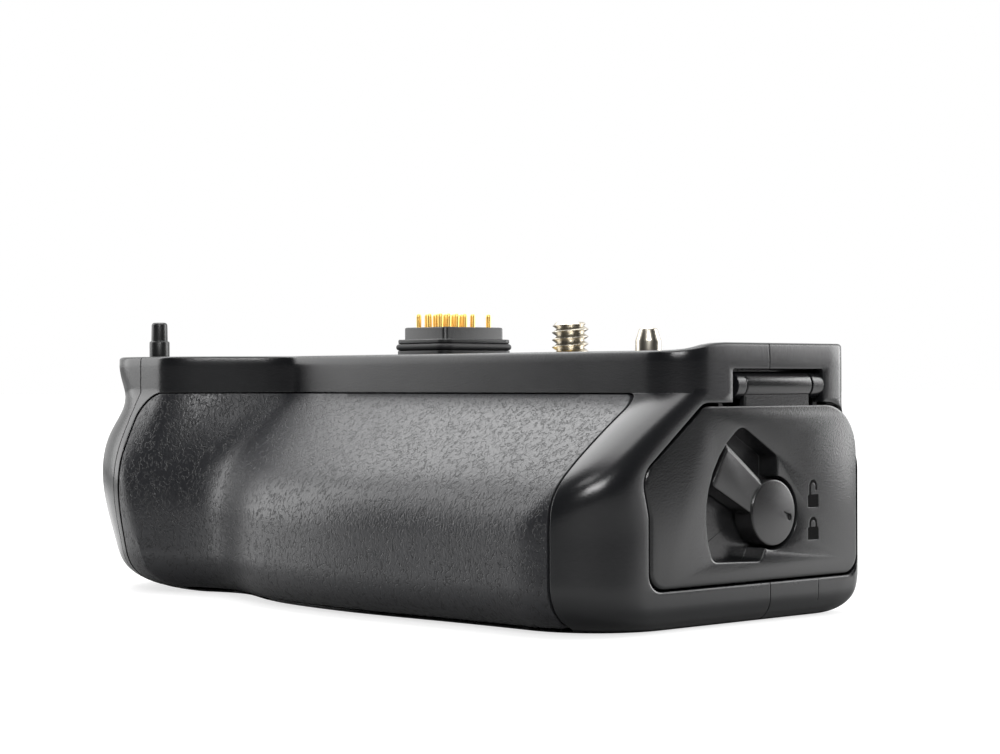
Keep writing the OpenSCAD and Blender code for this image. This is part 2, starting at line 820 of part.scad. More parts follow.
module connector_gasket() {
  color("#161617") difference() {
    conn_layer(gasket_z0, gasket_z1, 3.2, 2.3);
    conn_layer(gasket_z0 - 1, gasket_z1 + 1, 0.7, 1.25);
  }
}

module connector_pins() {
  color("#d9a93a") for (p = pin_places)
    translate([p.x, p.y, stem_z]) cylinder(h = pin_top - stem_z, r = cpin_d / 2, $fn = 24);
}

module main_board() {
  color("#1f5a3a") difference() {
    block([board_x0, -board_half, board_z], [board_x1, board_half, board_z + pcb_t]);
    for (y = board_screw_y)
      translate([board_screw_x, y, board_z - 1]) cylinder(h = pcb_t + 2, r = screw_r + fit);
  }
}

module board_screws() {
  color("#8f9194") for (y = board_screw_y)
    translate([board_screw_x, y, board_z - head_t - seat]) up_screw(board_screw_l);
}

// Outline of an involute spur gear, with its first tooth turned to the angle phase
module gear_shape(teeth, phase) {
  rp = tooth_m * teeth / 2;
  rb = rp * cos(20);
  tip = rp + tooth_m;
  root = rp - 1.25 * tooth_m;
  thin = 0.05;
  function roll(r) = let (a = acos(min(1, rb / r))) tan(a) * 180 / PI - a;
  function half(r) = 90 / teeth - thin / rp * 180 / PI + roll(rp) - roll(max(r, rb));
  radii = [root, for (i = [0 : 3]) max(rb, root) + 0.01 + (tip - max(rb, root) - 0.01) * i / 3];
  function spot(r, a) = r * [cos(a), sin(a)];
  polygon([
    for (k = [0 : teeth - 1])
      let (mid = phase + 360 * k / teeth)
      each concat(
        [for (r = radii) spot(r, mid - half(r))],
        [for (i = [len(radii) - 1 : -1 : 0]) spot(radii[i], mid + half(radii[i]))]
      )
  ]);
}

shank_r = thread_d / 2 - thread_pitch * 0.45;

// Tripod screw with a ring-shaped groove and a flat crest for each pitch above the top face
module tripod_screw() {
  crest = thread_d / 2;
  top = top_z + screw_up;
  turns = floor((screw_up - 0.3) / thread_pitch);
  start = top - turns * thread_pitch;
  form = [[crest, 0], [shank_r, 0.28], [shank_r, 0.42], [crest, 0.7]];
  function groove(i) = [for (q = form) [q[0], start + (i + q[1]) * thread_pitch]];
  color("#c9c6bd") rotate_extrude() polygon(concat(
    [[0, tray_z + 0.2], [journal_r, tray_z + 0.2], [journal_r, gear_z], [shank_r, gear_z]],
    [[shank_r, top_z + skin_gap], [crest, top_z + skin_gap]],
    [for (i = [0 : turns - 1]) each groove(i)],
    [[crest, top - 0.2 * thread_pitch], [shank_r, top], [0, top]]
  ));
}

module screw_gear() {
  color("#a9a294") difference() {
    translate([0, 0, gear_z]) linear_extrude(gear_t) gear_shape(screw_teeth, 90);
    translate([0, 0, gear_z - 1]) cylinder(h = gear_t + 2, r = shank_r + seat);
  }
}

module screw_bush() {
  color("#b9a66a") difference() {
    translate([0, 0, plate_z - 1.6]) cylinder(h = plate_t + 1.6, r = bush_r);
    cylinder(h = big, r = shank_r + fit);
  }
}

// Plate on the battery chamber that carries the screw and the thumbwheel
module gear_tray() {
  half = 9;
  y1 = rim_y - wall - 0.4;
  color("#4a4c4e") difference() {
    union() {
      block([-half, -half, tray_z], [half, y1, tray_z + tray_t]);
      for (x = [-half + 2, half - 2]) for (y = [-half + 2, y1 - 4])
        translate([x, y, tray_z - 1 + seat]) cylinder(h = 1.2, r = 1.6);
    }
    translate([0, 0, tray_z - 1]) cylinder(h = tray_t + 2, r = journal_r + fit);
    translate([0, wheel_y, tray_z - 2]) cylinder(h = tray_t + 3, r = axle_r + seat);
  }
}

module thumbwheel() {
  color("#5c5e60") difference() {
    translate([0, wheel_y, gear_z])
      linear_extrude(plate_z - slack - gear_z) gear_shape(wheel_teeth, 270 + 180 / wheel_teeth);
    translate([0, wheel_y, gear_z - 1]) cylinder(h = big, r = axle_r + fit);
  }
}

module thumbwheel_axle() {
  color("#c2c3c4") translate([0, wheel_y, tray_z]) cylinder(h = plate_z - tray_z - seat, r = axle_r);
}

guide_low = 2.1;
guide_up = 4.1;
guide_tip_d = guide_d - 1.45;

module guide_pin() {
  color("#bfbab0") translate([guide_x, 0, top_z]) rotate_extrude() polygon([
    [0, -plate_t + seat], [guide_d / 4, -plate_t + seat], [guide_d / 4, seat], [guide_d / 2, seat],
    [guide_d / 2, guide_low], [guide_tip_d / 2, guide_up], [0, guide_up]
  ]);
}

peg_x = -left_x + 11.7;
peg_y = -rim_y - lobe_rim + 7;
peg_low = 3.2;
peg_up = 6.6;
peg_tip_d = peg_d - 0.7;

module guide_peg() {
  color("#232527") translate([peg_x, peg_y, top_z]) rotate_extrude() polygon([
    [0, -plate_t + seat], [peg_d / 4, -plate_t + seat], [peg_d / 4, seat], [peg_d / 2, seat],
    [peg_d / 2, peg_low - 0.3],
    [peg_tip_d / 2, peg_low], [peg_tip_d / 2, peg_up - 0.6], [peg_tip_d / 2 - 0.6, peg_up], [0, peg_up]
  ]);
}

// Knurled disc outline
module knurl(r, count) {
  depth = 0.35;
  polygon([
    for (i = [0 : 2 * count - 1]) (r - (i % 2) * depth) * [cos(180 * i / count), sin(180 * i / count)]
  ]);
}

hub_in = button_d / 2 + 0.1;
hub_out = hub_in + 0.4;
bezel_in = ring_d / 2 + slack;
bezel_out = ring_d / 2 + 1.4;
bezel_x = -rel_x + 5;
bezel_floor = 1.2;
stem_r = 2;

// Turns a profile [radius, height] about the release axis, with height pointing out of the far end
module on_release() {
  translate([bezel_x, rel_y, rel_z]) rotate([0, -90, 0]) children();
}

module release_bezel() {
  color("#2a2c2e") on_release() difference() {
    cylinder(h = 5.4, r = bezel_out);
    difference() {
      translate([0, 0, bezel_floor]) cylinder(h = 6, r = bezel_in);
      cylinder(h = 4.6, r = hub_out);
    }
    translate([0, 0, bezel_floor]) cylinder(h = 6, r = hub_in);
    translate([0, 0, -1]) cylinder(h = 6, r = stem_r + fit);
  }
}

module release_button() {
  roof = bezel_floor + 4.2;
  color("#1e2022") on_release() union() {
    difference() {
      rotate_extrude() polygon(concat(
        [[0, bezel_floor + stroke + 0.6], [button_d / 2, bezel_floor + stroke + 0.6]],
        [for (i = [0 : 6]) [button_d / 2 * cos(15 * i), roof + 0.6 + 1.2 * sin(15 * i)]]
      ));
      cylinder(h = roof, r = 3.6);
    }
    translate([0, 0, 0.2]) cylinder(h = roof, r = stem_r);
  }
}

module release_spring() {
  color("#b4b6b8") on_release() translate([0, 0, bezel_floor]) difference() {
    cylinder(h = 4.2 - stroke - 0.2, r = 3.4);
    translate([0, 0, -1]) cylinder(h = 6, r = 2.4);
  }
}

module release_switch() {
  color("#1b1b1c") on_release() difference() {
    translate([-4.5, -4.5, -3.6]) cube([9, 9, 3.6 - seat]);
    translate([0, 0, -stroke]) cylinder(h = 2, r = stem_r + 0.2);
  }
}

module front_dial() {
  color("#2f3133") on_release() difference() {
    translate([0, 0, bezel_floor + slack]) linear_extrude(5) knurl(ring_d / 2, 36);
    cylinder(h = 8, r = hub_out + fit);
  }
}

dial_y0 = rear_y0 - wall + 0.9;
dial_h = 4.1;

module on_rear(x, z, y) {
  translate([x, y, z]) rotate([-90, 0, 0]) children();
}

module dial_seat() {
  color("#2a2c2e") on_rear(dial_x, dial_z, dial_y0 - slack - 2) difference() {
    cylinder(h = 2, r = dial_d / 2 + slack);
    translate([0, 0, -1]) cylinder(h = 4, r = axle_r + seat);
  }
}

module rear_dial() {
  color("#2f3133") on_rear(dial_x, dial_z, dial_y0) difference() {
    linear_extrude(dial_h) knurl(dial_d / 2, 36);
    translate([0, 0, -1]) cylinder(h = dial_h + 2, r = axle_r + fit);
  }
}

module dial_axle() {
  color("#8f9194") on_rear(dial_x, dial_z, dial_y0 - slack - 3.4) {
    cylinder(h = dial_h + slack + 3.4 + 0.1, r = axle_r);
    translate([0, 0, dial_h + slack + 3.4 + 0.1]) cylinder(h = 0.5, r = axle_r + 1);
    cylinder(h = 1.4 - seat, r = axle_r + 1);
  }
}

// Function button: a round cap with a flange behind the shell wall
module fn_button(x) {
  color("#3a3c3e") on_rear(x, fn_z, rear_y0 - wall - 1.4) {
    cylinder(h = wall + 1.4 + 1.2, r = fn_d / 2);
    cylinder(h = 1, r = fn_d / 2 + 0.9);
  }
}

module fn_button_a() { fn_button(fn_x[0]); }

module fn_button_b() { fn_button(fn_x[1]); }

pad_y = board_y + board_t + seat;
pad_t = 3.4 - stroke - 0.2 - board_t + seat;

// Rubber boot behind the function buttons: a floor on the board and a wall up to the shell
module button_pad() {
  x0 = fn_x[0] - fn_d / 2 - 2.6;
  x1 = fn_x[1] + fn_d / 2 + 2.6;
  z0 = fn_z - 6.4;
  z1 = fn_z + 5.5;
  color("#55585c") difference() {
    block([x0, pad_y, z0], [x1, rear_y0 - wall - 0.12, z1]);
    block([x0 + 0.9, pad_y + pad_t, z0 + 0.9], [x1 - 0.9, big, z1 - 0.9]);
  }
}

module button_board() {
  color("#1f5a3a") block([fn_x[0] - 7, board_y, fn_z - 7], [lock_x + 8, board_y + board_t, fn_z + 9]);
}

module lock_slider() {
  y0 = board_y + board_t + slack;
  color("#3a3c3e") union() {
    block([lock_x - 2.3, y0, fn_z - 1.8], [lock_x + 2.3, rear_y0 + 1.2, fn_z + 1.8]);
    block([lock_x - 4, rear_y0 - wall - 1.4, fn_z - 3], [lock_x + 4, rear_y0 - wall - slack, fn_z + 3]);
  }
}

module base_screws() {
  color("#8f9194") for (p = base_posts) translate([p.x, p.y, head_sink]) up_screw(base_screw_l);
}

module top_screws() {
  color("#8f9194") for (p = top_posts)
    translate([p.x, p.y, top_z - head_sink]) mirror([0, 0, 1]) up_screw(top_screw_l);
}

front_shell();
rear_shell();
grip_rubber();
top_plate();
base_plate();
tripod_socket();
battery_chamber();
contact_block();
battery_contacts();
eject_spring();
battery_catch();
catch_pin();
battery_door();
door_seal();
hinge_bracket();
hinge_pin();
hinge_screws();
latch_knob();
latch_cam();
latch_screw();
connector_housing();
connector_gasket();
connector_pins();
main_board();
board_screws();
tripod_screw();
screw_gear();
screw_bush();
gear_tray();
thumbwheel();
thumbwheel_axle();
guide_pin();
guide_peg();
release_bezel();
release_button();
release_spring();
release_switch();
front_dial();
rear_dial();
dial_seat();
dial_axle();
fn_button_a();
fn_button_b();
button_pad();
button_board();
lock_slider();
base_screws();
top_screws();
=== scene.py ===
from math import radians

import bmesh
import bpy
import numpy as np
from mathutils import Matrix


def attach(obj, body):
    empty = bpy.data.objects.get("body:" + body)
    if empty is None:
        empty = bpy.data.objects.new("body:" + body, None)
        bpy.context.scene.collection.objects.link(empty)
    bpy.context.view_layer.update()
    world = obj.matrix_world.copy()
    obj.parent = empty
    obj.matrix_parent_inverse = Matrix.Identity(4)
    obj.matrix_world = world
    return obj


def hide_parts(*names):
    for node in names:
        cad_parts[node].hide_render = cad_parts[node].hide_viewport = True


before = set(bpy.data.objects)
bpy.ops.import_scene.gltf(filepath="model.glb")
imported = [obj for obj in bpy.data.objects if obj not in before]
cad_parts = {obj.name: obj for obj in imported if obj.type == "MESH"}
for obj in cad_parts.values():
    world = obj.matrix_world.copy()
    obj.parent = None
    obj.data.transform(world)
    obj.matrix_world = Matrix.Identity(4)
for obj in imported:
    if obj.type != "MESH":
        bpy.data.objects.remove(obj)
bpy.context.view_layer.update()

MM = 0.001

# Body
END_X, LEFT_X, RIM_Y, TOP_Z, LIP_H, WALL = 43.9, 92.7, 20.0, 43.5, 1.3, 2.2
PART_Y, SEAM_Z, CREST_Z, RIDGE_Y = 1.5, 36.8, 19.0, 42.0
SLOPE_POWER, CREST_SOFT, SOFT_SHARE = 1.3, 4.5, 1.6
SWELL_H, SWELL_X, SWELL_LEN = 2.0, -14.0, 22.0
VALLEY_D, VALLEY_X, VALLEY_LEN = 5.5, 55.0, 13.0
LOBE_RIM, LOBE_RIM_LEN, LOBE_OUT, LOBE_OUT_LEN = 17.0, 19.0, 3.0, 14.0
CORNER_R, CORNER_RIM, CORNER_POWER = 14.0, 7.0, 8
LOBE_R, LOBE_RIM_R, REAR_LEFT_R, REAR_RIGHT_R = 24.5, 12.0, 12.0, 2.5
REAR_FLARE, REAR_FLARE_LEN, RIM_BACK = 4.2, 11.0, 1.4
LEFT_FLARE, BULGE_Z, BULGE_LEN, LEFT_WAIST, WAIST_LEN = 4.0, 20.0, 12.5, 3.3, 4.7
RIM_FLAT, RIM_EDGE, RIM_INNER, CAP_X = 41.7, 0.7, 0.3, 77.0
LIP_X, LIP_X_LEN, LIP_Y, LIP_Y_LEN = 36.2, 1.6, -20.2, 11.4
BASE_ROUND, REAR_ROUND, END_ROUND, LEFT_ROUND = 8.0, 7.0, 4.0, 5.5
BASE_X0, BASE_X1, BASE_Y0, BASE_Y1, WHEEL_Y = -72.0, 34.0, -20.0, 12.0, 13.5
LINE_Y, LINE_W, LINE_TOP, LINE_DEPTH = 13.5, 0.15, 6.6, 0.25

# Grip skin: its edges, and how far its outside, its inside and its bed lie under the body's surface
SKIN_FROM_CAP, SKIN_RIGHT, SKIN_TOP, SKIN_LOW, SKIN_Y = 1.9, 36.0, 36.7, 0.9, -14.0
SKIN_OUT, SKIN_IN, SKIN_BED, BED_GROWTH, SKIN_GROWTH = 0.06, 1.0, 1.05, 0.3, -0.2

# Door, hinge and latch
FACE_IN, DOOR_TOP, DOOR_BOTTOM, DOOR_FRONT, DOOR_REAR = 41.7, 34.9, 6.7, 26.4, 23.8
DOOR_ROUND, DOOR_EDGE, SLOPE_Y, BELLY, BELLY_DROP, KNEE_DROP = 8.0, 0.5, -14.0, 1.6, 10.5, 16.9
HINGE_X, HINGE_Z, HINGE_R, PINHOLE_R = 41.725, 38.0, 2.175, 0.8
HINGE_Y0, HINGE_Y1, BARREL_Y0, BARREL_Y1 = -7.3, 15.1, -3.8, 12.2
KNOB_Y, KNOB_Z, KNOB_R, KNOB_EDGE, POCKET_X, CUP_X = 2.4, 17.5, 5.35, 0.3, 39.9, 38.9
WING_REACH, WING_HALF, WING_TIP, WING_TURN, WING_EDGE = 15.3, 2.35, 13.0, 148.5, 0.25
STEP_OUT, STEP_DOWN, DROP_R, DROP_TURN, DROP_DEPTH = 0.6, 0.65, 0.55, -24, 0.45

# Padlock signs on the door: height of each, and how far its bow is lifted
MARKS = {"padlock_open_mark": (20.0, 0.8), "padlock_closed_mark": (14.7, 0.0)}
MARK_Y, MARK_HALF, MARK_H, BOW_R, BOW_IN, MARK_DEPTH = 12.3, 1.35, 2.0, 1.0, 0.55, 0.15

# Camera fixing and connector
THREAD_R, THREAD_PITCH, THREAD_STEPS, SCREW_H, SCREW_CHAMFER = 3.175, 1.27, 96, 5.5, 0.75
GUIDE_PIN_X, PEG_X, PEG_Y = 18.6, -81, -30
CONN_X, CONN_L, CONN_W, CONN_FOOT, CONN_ROUND = -30.35, 11.5, 14.6, 38.6, 0.8
PIN_R, PIN_TOP, PIN_ROWS, PIN_COLS = 0.45, 51.1, 3.9, 7.4

# Controls on the far end and the rear
REL_X, REL_Y, REL_Z, BUTTON_R = -91.7, -6.0, 21.0, 4.6
DIAL_X, DIAL_Y, DIAL_Z, KNURL_DEPTH, KNURL_COUNT = -74.0, 24.3, 15.5, 0.35, 36
FN_X, FN_Y, FN_Z, FN_R, FN_EDGE = {"a": -56, "b": -45}, 22.0, 18.0, 3.2, 0.5
LOCK_X, SLIDER_FACE, SLIDER_EDGE, GROOVE_STEP = -31.0, 26.4, 0.4, 1.1
REAR_FACE, REAR_DEPTH = 25.6, 4.2
ALONG_X, ALONG_Y, ALONG_Z, OUT_FAR = (1, 0, 0), (0, 1, 0), (0, 0, 1), (-1, 0, 0)

# Camera: place, its right-hand direction, focal length, and how far it rolls and tips
VIEW_PLACE, VIEW_LENS, VIEW_ROLL, VIEW_TIP = (284.2, -281.9, 38.7), 82.8, 0.0028, 0.00196
RIGHT = np.array([0.682, 0.731, 0.0]) / np.hypot(0.682, 0.731)
AHEAD = np.array([-RIGHT[1], RIGHT[0], 0.0])

# Soft lights: place and aim in metres, width and height in metres, watts
LIGHTS = {
    "above": ((-0.27, 0.1, 0.65), (-0.27, 0.1, 0.0), (1.0, 0.5), 6.6),
    "left": ((-0.63, -0.335, 0.3), (0.0, -0.02, 0.04), (0.4, 0.6), 2.2),
    "right": ((0.305, 0.66, 0.25), (0.04, 0.0, 0.03), (0.36, 0.5), 3.6),
    "front": ((0.52, -0.45, 0.42), (0.03, -0.03, 0.02), (0.34, 0.18), 3.4),
    "front_high": ((0.15, -0.42, 0.68), (0.0, -0.03, 0.02), (0.25, 0.14), 0.6),
}


# Form of the body

def ease(t):
    """Smooth step from 0 to 1: c squared times (3 - 2c), with c = t held between 0 and 1."""
    c = np.clip(t, 0.0, 1.0)
    return c * c * (3 - 2 * c)


def bell(x, mid, half):
    """Bell curve of height 1: e to the power of minus ((x - mid) / half) squared."""
    return np.exp(-(((x - mid) / half) ** 2))


def inward(z, r):
    """Inset of a quarter-round lower edge of radius r at height z."""
    low = np.minimum(z, r)
    return r - np.sqrt(np.maximum(0.0, r * r - (r - low) ** 2))


def profile(z):
    """Share of the way from the rim out to the crest: 1 below the crest, 0 above the seam and a power curve
    between, averaged over a few millimetres of height so that the crest is round."""
    z = np.asarray(z, float)
    reach = np.clip((SEAM_Z - z) / SOFT_SHARE, 0.0, CREST_SOFT)
    spread = z[..., None] + reach[..., None] * np.linspace(-1, 1, 13)
    t = np.clip((spread - CREST_Z) / (SEAM_Z - CREST_Z), 0.0, 1.0)
    return 1 - (t ** SLOPE_POWER).mean(-1)


def rim_front(x):
    """Reach of the rim's front wall: straight, then a smooth step out over the hand lobe."""
    return RIM_Y + LOBE_RIM * ease((-x - VALLEY_X + 3) / LOBE_RIM_LEN)


def low_front(x):
    """Reach of the crest: the ridge with its swell, less the finger valley, plus the lobe's step."""
    swell = SWELL_H * bell(x, SWELL_X, SWELL_LEN) - VALLEY_D * bell(x, -VALLEY_X, VALLEY_LEN)
    return RIDGE_Y + swell + LOBE_OUT * ease((-x - VALLEY_X - 7) / LOBE_OUT_LEN)


def front_y(x, z):
    """Reach of the front surface: the rim's, moved to the crest's by the profile, less the base rounding."""
    return rim_front(x) + (low_front(x) - rim_front(x)) * profile(z) - inward(z, BASE_ROUND)


def rear_y(z):
    """Reach of the rear wall: the rim's, plus a smooth flare below it, less the base rounding."""
    return RIM_Y + RIM_BACK + REAR_FLARE * ease((SEAM_Z - 1.8 - z) / REAR_FLARE_LEN) - inward(z, REAR_ROUND)


def far_x(z):
    """Place of the far end: the rim's, with a bell-shaped waist and bulge below, less the base rounding."""
    h = np.minimum(z, RIM_FLAT)
    bulge = LEFT_WAIST * bell(h, SEAM_Z - 2, WAIST_LEN) - LEFT_FLARE * bell(h, BULGE_Z, BULGE_LEN)
    return bulge - LEFT_X + inward(z, LEFT_ROUND)


def arcs(cx, cy, r, a0, a1, n):
    """One arc per row about (cx, cy): centre plus radius times cosine and sine, in n steps of the angle."""
    a = np.radians(np.linspace(a0, a1, n + 1))
    r = np.asarray(r)[:, None]
    return np.stack([np.asarray(cx)[:, None] + r * np.cos(a), np.asarray(cy)[:, None] + r * np.sin(a)], -1)


def straight(ax, ay, bx, by, n):
    """Inner points of a straight edge per row, n steps from point a to point b."""
    t = np.linspace(0, 1, n + 1)[1:-1]
    ax, ay, bx, by = (np.asarray(v)[:, None] for v in (ax, ay, bx, by))
    return np.stack([ax + (bx - ax) * t, ay + (by - ay) * t], -1)


def outline(z, d):
    """Plan outlines at the heights z, inset by d, counter-clockwise from the rear right corner:
    four corner arcs joined by straight edges, and by the front surface's own curve."""
    z = np.atleast_1d(np.asarray(z, float))
    d = np.broadcast_to(np.asarray(d, float), z.shape)
    p = profile(z)
    xr, xl = END_X - inward(z, END_ROUND) - d, far_x(z) + d
    rf = CORNER_RIM + (CORNER_R - CORNER_RIM) * p ** CORNER_POWER - d
    rl = LOBE_RIM_R + (LOBE_R - LOBE_RIM_R) * p - d
    rb, rr = REAR_LEFT_R - d, np.maximum(0.5, REAR_RIGHT_R - d)
    yb, xa, xb = rear_y(z) - d, xl + rl, xr - rf
    ya, yc = rl + d - front_y(xa, z), rf + d - front_y(xb, z)
    x = xa[:, None] + (xb - xa)[:, None] * np.linspace(0, 1, 121)[1:-1]
    front = np.stack([x, d[:, None] - front_y(x, z[:, None])], -1)
    return np.concatenate([
        arcs(xr - rr, yb - rr, rr, 0, 90, 6), straight(xr - rr, yb, xl + rb, yb, 24),
        arcs(xl + rb, yb - rb, rb, 90, 180, 16), straight(xl, yb - rb, xl, ya, 12),
        arcs(xa, ya, rl, 180, 270, 28), front, arcs(xb, yc, rf, 270, 360, 20),
        straight(xr, yc, xr, yb - rr, 14),
    ], 1)


def rings(z, d):
    """Outlines of the body at the heights z, inset by d, as points in space."""
    plan = outline(z, d)
    up = np.broadcast_to(np.atleast_1d(z)[:, None, None], plan.shape[:2] + (1,))
    return np.concatenate([plan, up], 2)


def rim_top(x, y):
    """Height of the rim: the top face, with a lip over the door end that ramps up along Y."""
    return TOP_Z + LIP_H * ease((y - LIP_Y) / LIP_Y_LEN) * ease((x - LIP_X) / LIP_X_LEN)


# Making and carving meshes

def quarter(n):
    """Sines and one minus cosines of n equal steps up to a right angle."""
    a = np.radians(np.linspace(0, 90, n + 1)[1:])
    return np.sin(a), 1 - np.cos(a)


def grid_faces(rows, cols, wrap_rows=False):
    """Quads of a grid that is closed along its columns, and along its rows where wrap_rows is true."""
    k, i = np.meshgrid(np.arange(rows if wrap_rows else rows - 1), np.arange(cols), indexing="ij")
    j, m = (i + 1) % cols, (k + 1) % rows
    return np.stack([k * cols + i, k * cols + j, m * cols + j, m * cols + i], -1).reshape(-1, 4)


def put(name, points, faces):
    """Mesh object from points in millimetres and index arrays, with doubles merged and faces outwards."""
    mesh = bpy.data.meshes.new(name)
    mesh.from_pydata((np.asarray(points, float) * MM).tolist(), [], [list(map(int, f)) for f in faces])
    form = bmesh.new()
    form.from_mesh(mesh)
    bmesh.ops.remove_doubles(form, verts=form.verts, dist=1e-7)
    if form.calc_volume(signed=True) < 0:
        bmesh.ops.reverse_faces(form, faces=form.faces)
    form.to_mesh(mesh)
    form.free()
    piece = bpy.data.objects.new(name, mesh)
    bpy.context.scene.collection.objects.link(piece)
    return piece


def solid(name, rows, wrap_rows=False):
    """Closed solid through rows of points: each row is a ring, and the first and last ring are capped."""
    m, n = rows.shape[:2]
    faces = list(grid_faces(m, n, wrap_rows))
    if not wrap_rows:
        faces += [np.arange(n)[::-1], np.arange(n) + (m - 1) * n]
    return put(name, rows.reshape(-1, 3), faces)


def circle(axis, steps):
    """Angles of so many steps, and the unit circle square to an axis: cosine and sine times its two sides."""
    axis = np.asarray(axis, float)
    side = np.roll(axis, 1)
    a = np.linspace(0, 2 * np.pi, steps, endpoint=False)
    return a, np.cos(a)[:, None] * side + np.sin(a)[:, None] * np.cross(axis, side)


def turned(name, shape, place, axis, steps=64):
    """Turned solid: the profile [radius, height] carried once round the axis through a place."""
    shape = np.asarray(shape, float)
    ring = circle(axis, steps)[1]
    rows = np.asarray(place) + shape[:, None, :1] * ring + shape[:, None, 1:] * np.asarray(axis, float)
    return solid(name, rows)


def knurled(name, shape, place, axis):
    """Ring with a knurled flank: the profile [radius, height, share] goes once round the axis, and each
    radius falls by the knurl's depth times its share times half of one minus the cosine of so many turns."""
    shape, axis = np.asarray(shape, float), np.asarray(axis, float)
    a, ring = circle(axis, KNURL_COUNT * 8)
    r = shape[:, :1] - KNURL_DEPTH * shape[:, 2:] * (1 - np.cos(KNURL_COUNT * a)) / 2
    rows = np.asarray(place, float) + r[:, :, None] * ring + shape[:, 1, None, None] * axis
    return solid(name, rows, wrap_rows=True)


def stacked(name, levels, plan, across):
    """Solid through outlines plan(growth) at the levels [place, growth], carried along X, Y or Z."""
    rows = []
    for place, growth in levels:
        flat = plan(growth)
        lift = np.full((len(flat), 1), place)
        rows.append({
            "x": np.hstack([lift, flat]),
            "y": np.hstack([flat[:, :1], lift, flat[:, 1:]]),
            "z": np.hstack([flat, lift]),
        }[across])
    return solid(name, np.stack(rows))


def rounded(corners, steps=8):
    """Polygon whose corners [u, v, radius] are replaced by arcs that touch both edges."""
    c = np.asarray(corners, float)
    p, r = c[:, :2], c[:, 2:]
    ua, ub = np.roll(p, 1, 0) - p, np.roll(p, -1, 0) - p
    ua, ub = ua / np.linalg.norm(ua, axis=1)[:, None], ub / np.linalg.norm(ub, axis=1)[:, None]
    half = np.arccos(np.clip((ua * ub).sum(1), -1, 1))[:, None] / 2
    middle = (ua + ub) / np.linalg.norm(ua + ub, axis=1)[:, None]
    centre = p + middle * r / np.sin(half)
    start = p + ua * r / np.tan(half) - centre
    turn = np.sign(ua[:, :1] * ub[:, 1:] - ua[:, 1:] * ub[:, :1]) * (np.pi - 2 * half)
    w = -turn * np.linspace(0, 1, steps + 1)
    x = centre[:, :1] + start[:, :1] * np.cos(w) - start[:, 1:] * np.sin(w)
    y = centre[:, 1:] + start[:, :1] * np.sin(w) + start[:, 1:] * np.cos(w)
    return np.stack([x, y], -1).reshape(-1, 2)


def box_plan(u0, v0, u1, v1, r):
    """Rectangle between two corners with round corners, as a function of how far it is grown."""
    def plan(g):
        wide = r + max(g, 0)
        return rounded([[u0 - g, v0 - g, wide], [u1 + g, v0 - g, wide], [u1 + g, v1 + g, wide],
                        [u0 - g, v1 + g, wide]])
    return plan


def polygon(points):
    """Fixed outline that doesn't grow."""
    points = np.asarray(points, float)
    return lambda g: points


def spun(points, degrees):
    """Points in a plane turned about its origin by an angle in degrees."""
    a = radians(degrees)
    return points @ np.array([[np.cos(a), np.sin(a)], [-np.sin(a), np.cos(a)]])


def settle(piece):
    """Applies a piece's modifiers to its mesh."""
    mesh = bpy.data.meshes.new_from_object(piece.evaluated_get(bpy.context.evaluated_depsgraph_get()))
    piece.modifiers.clear()
    old, piece.data = piece.data, mesh
    bpy.data.meshes.remove(old)
    return piece


def carve(piece, tools, how="DIFFERENCE"):
    """Takes each closed tool from a closed piece, adds it or keeps what they share; the tools are used up."""
    for tool in tools:
        step = piece.modifiers.new("step", "BOOLEAN")
        step.object, step.operation, step.solver = tool, how, "MANIFOLD"
    settle(piece)
    for tool in tools:
        bpy.data.objects.remove(tool)
    return piece


def smooth(piece, angle):
    """Shades a piece smoothly, apart from edges sharper than the angle."""
    mesh = piece.data
    mesh.polygons.foreach_set("use_smooth", np.ones(len(mesh.polygons), bool))
    mesh.set_sharp_from_angle(angle=radians(angle))
    return piece


# Shader node groups and finishes

def add(tree, kind, sockets=None, **settings):
    """Node with its settings, and its inputs set to a value or linked to an output."""
    made = tree.nodes.new(kind)
    for key, value in settings.items():
        setattr(made, key, value)
    for key, value in (sockets or {}).items():
        if isinstance(value, bpy.types.NodeSocket):
            tree.links.new(value, made.inputs[key])
        else:
            made.inputs[key].default_value = value
    return made


def calc(tree, how, a, b=0.0, clamp=False):
    """Output of one sum on two values."""
    return add(tree, "ShaderNodeMath", {0: a, 1: b}, operation=how, use_clamp=clamp).outputs[0]


def vector(tree, how, a, b=(0.0, 0.0, 0.0)):
    """Output of one sum on two vectors: a value for a dot product or a length, otherwise a vector."""
    made = add(tree, "ShaderNodeVectorMath", {0: a, 1: b}, operation=how)
    return made.outputs["Value" if how in ("DOT_PRODUCT", "LENGTH") else "Vector"]


def tone(tree, value, low, high):
    """A mask or noise of 0 to 1 moved into the range low to high."""
    return add(tree, "ShaderNodeMapRange", {"Value": value, "To Min": low, "To Max": high}).outputs[0]


def ramp(tree, value, low, high, start=0.0, end=1.0):
    """Smooth step of a value between two limits, from a start level to an end level."""
    limits = {"Value": value, "From Min": low, "From Max": high, "To Min": start, "To Max": end}
    return add(tree, "ShaderNodeMapRange", limits, interpolation_type="SMOOTHSTEP").outputs[0]


def noise(tree, where, scale, output="Fac", **more):
    """Output of a noise texture at a scale."""
    return add(tree, "ShaderNodeTexNoise", {"Vector": where, "Scale": scale, **more}).outputs[output]


def group(name, inputs, outputs):
    """Empty shader node group with named value and vector sockets."""
    tree = bpy.data.node_groups.new(name, "ShaderNodeTree")
    kinds = {"f": "NodeSocketFloat", "v": "NodeSocketVector"}
    for label, kind in inputs.items():
        tree.interface.new_socket(label, in_out="INPUT", socket_type=kinds[kind])
    for label, kind in outputs.items():
        tree.interface.new_socket(label, in_out="OUTPUT", socket_type=kinds[kind])
    return tree, tree.nodes.new("NodeGroupInput").outputs, tree.nodes.new("NodeGroupOutput").inputs


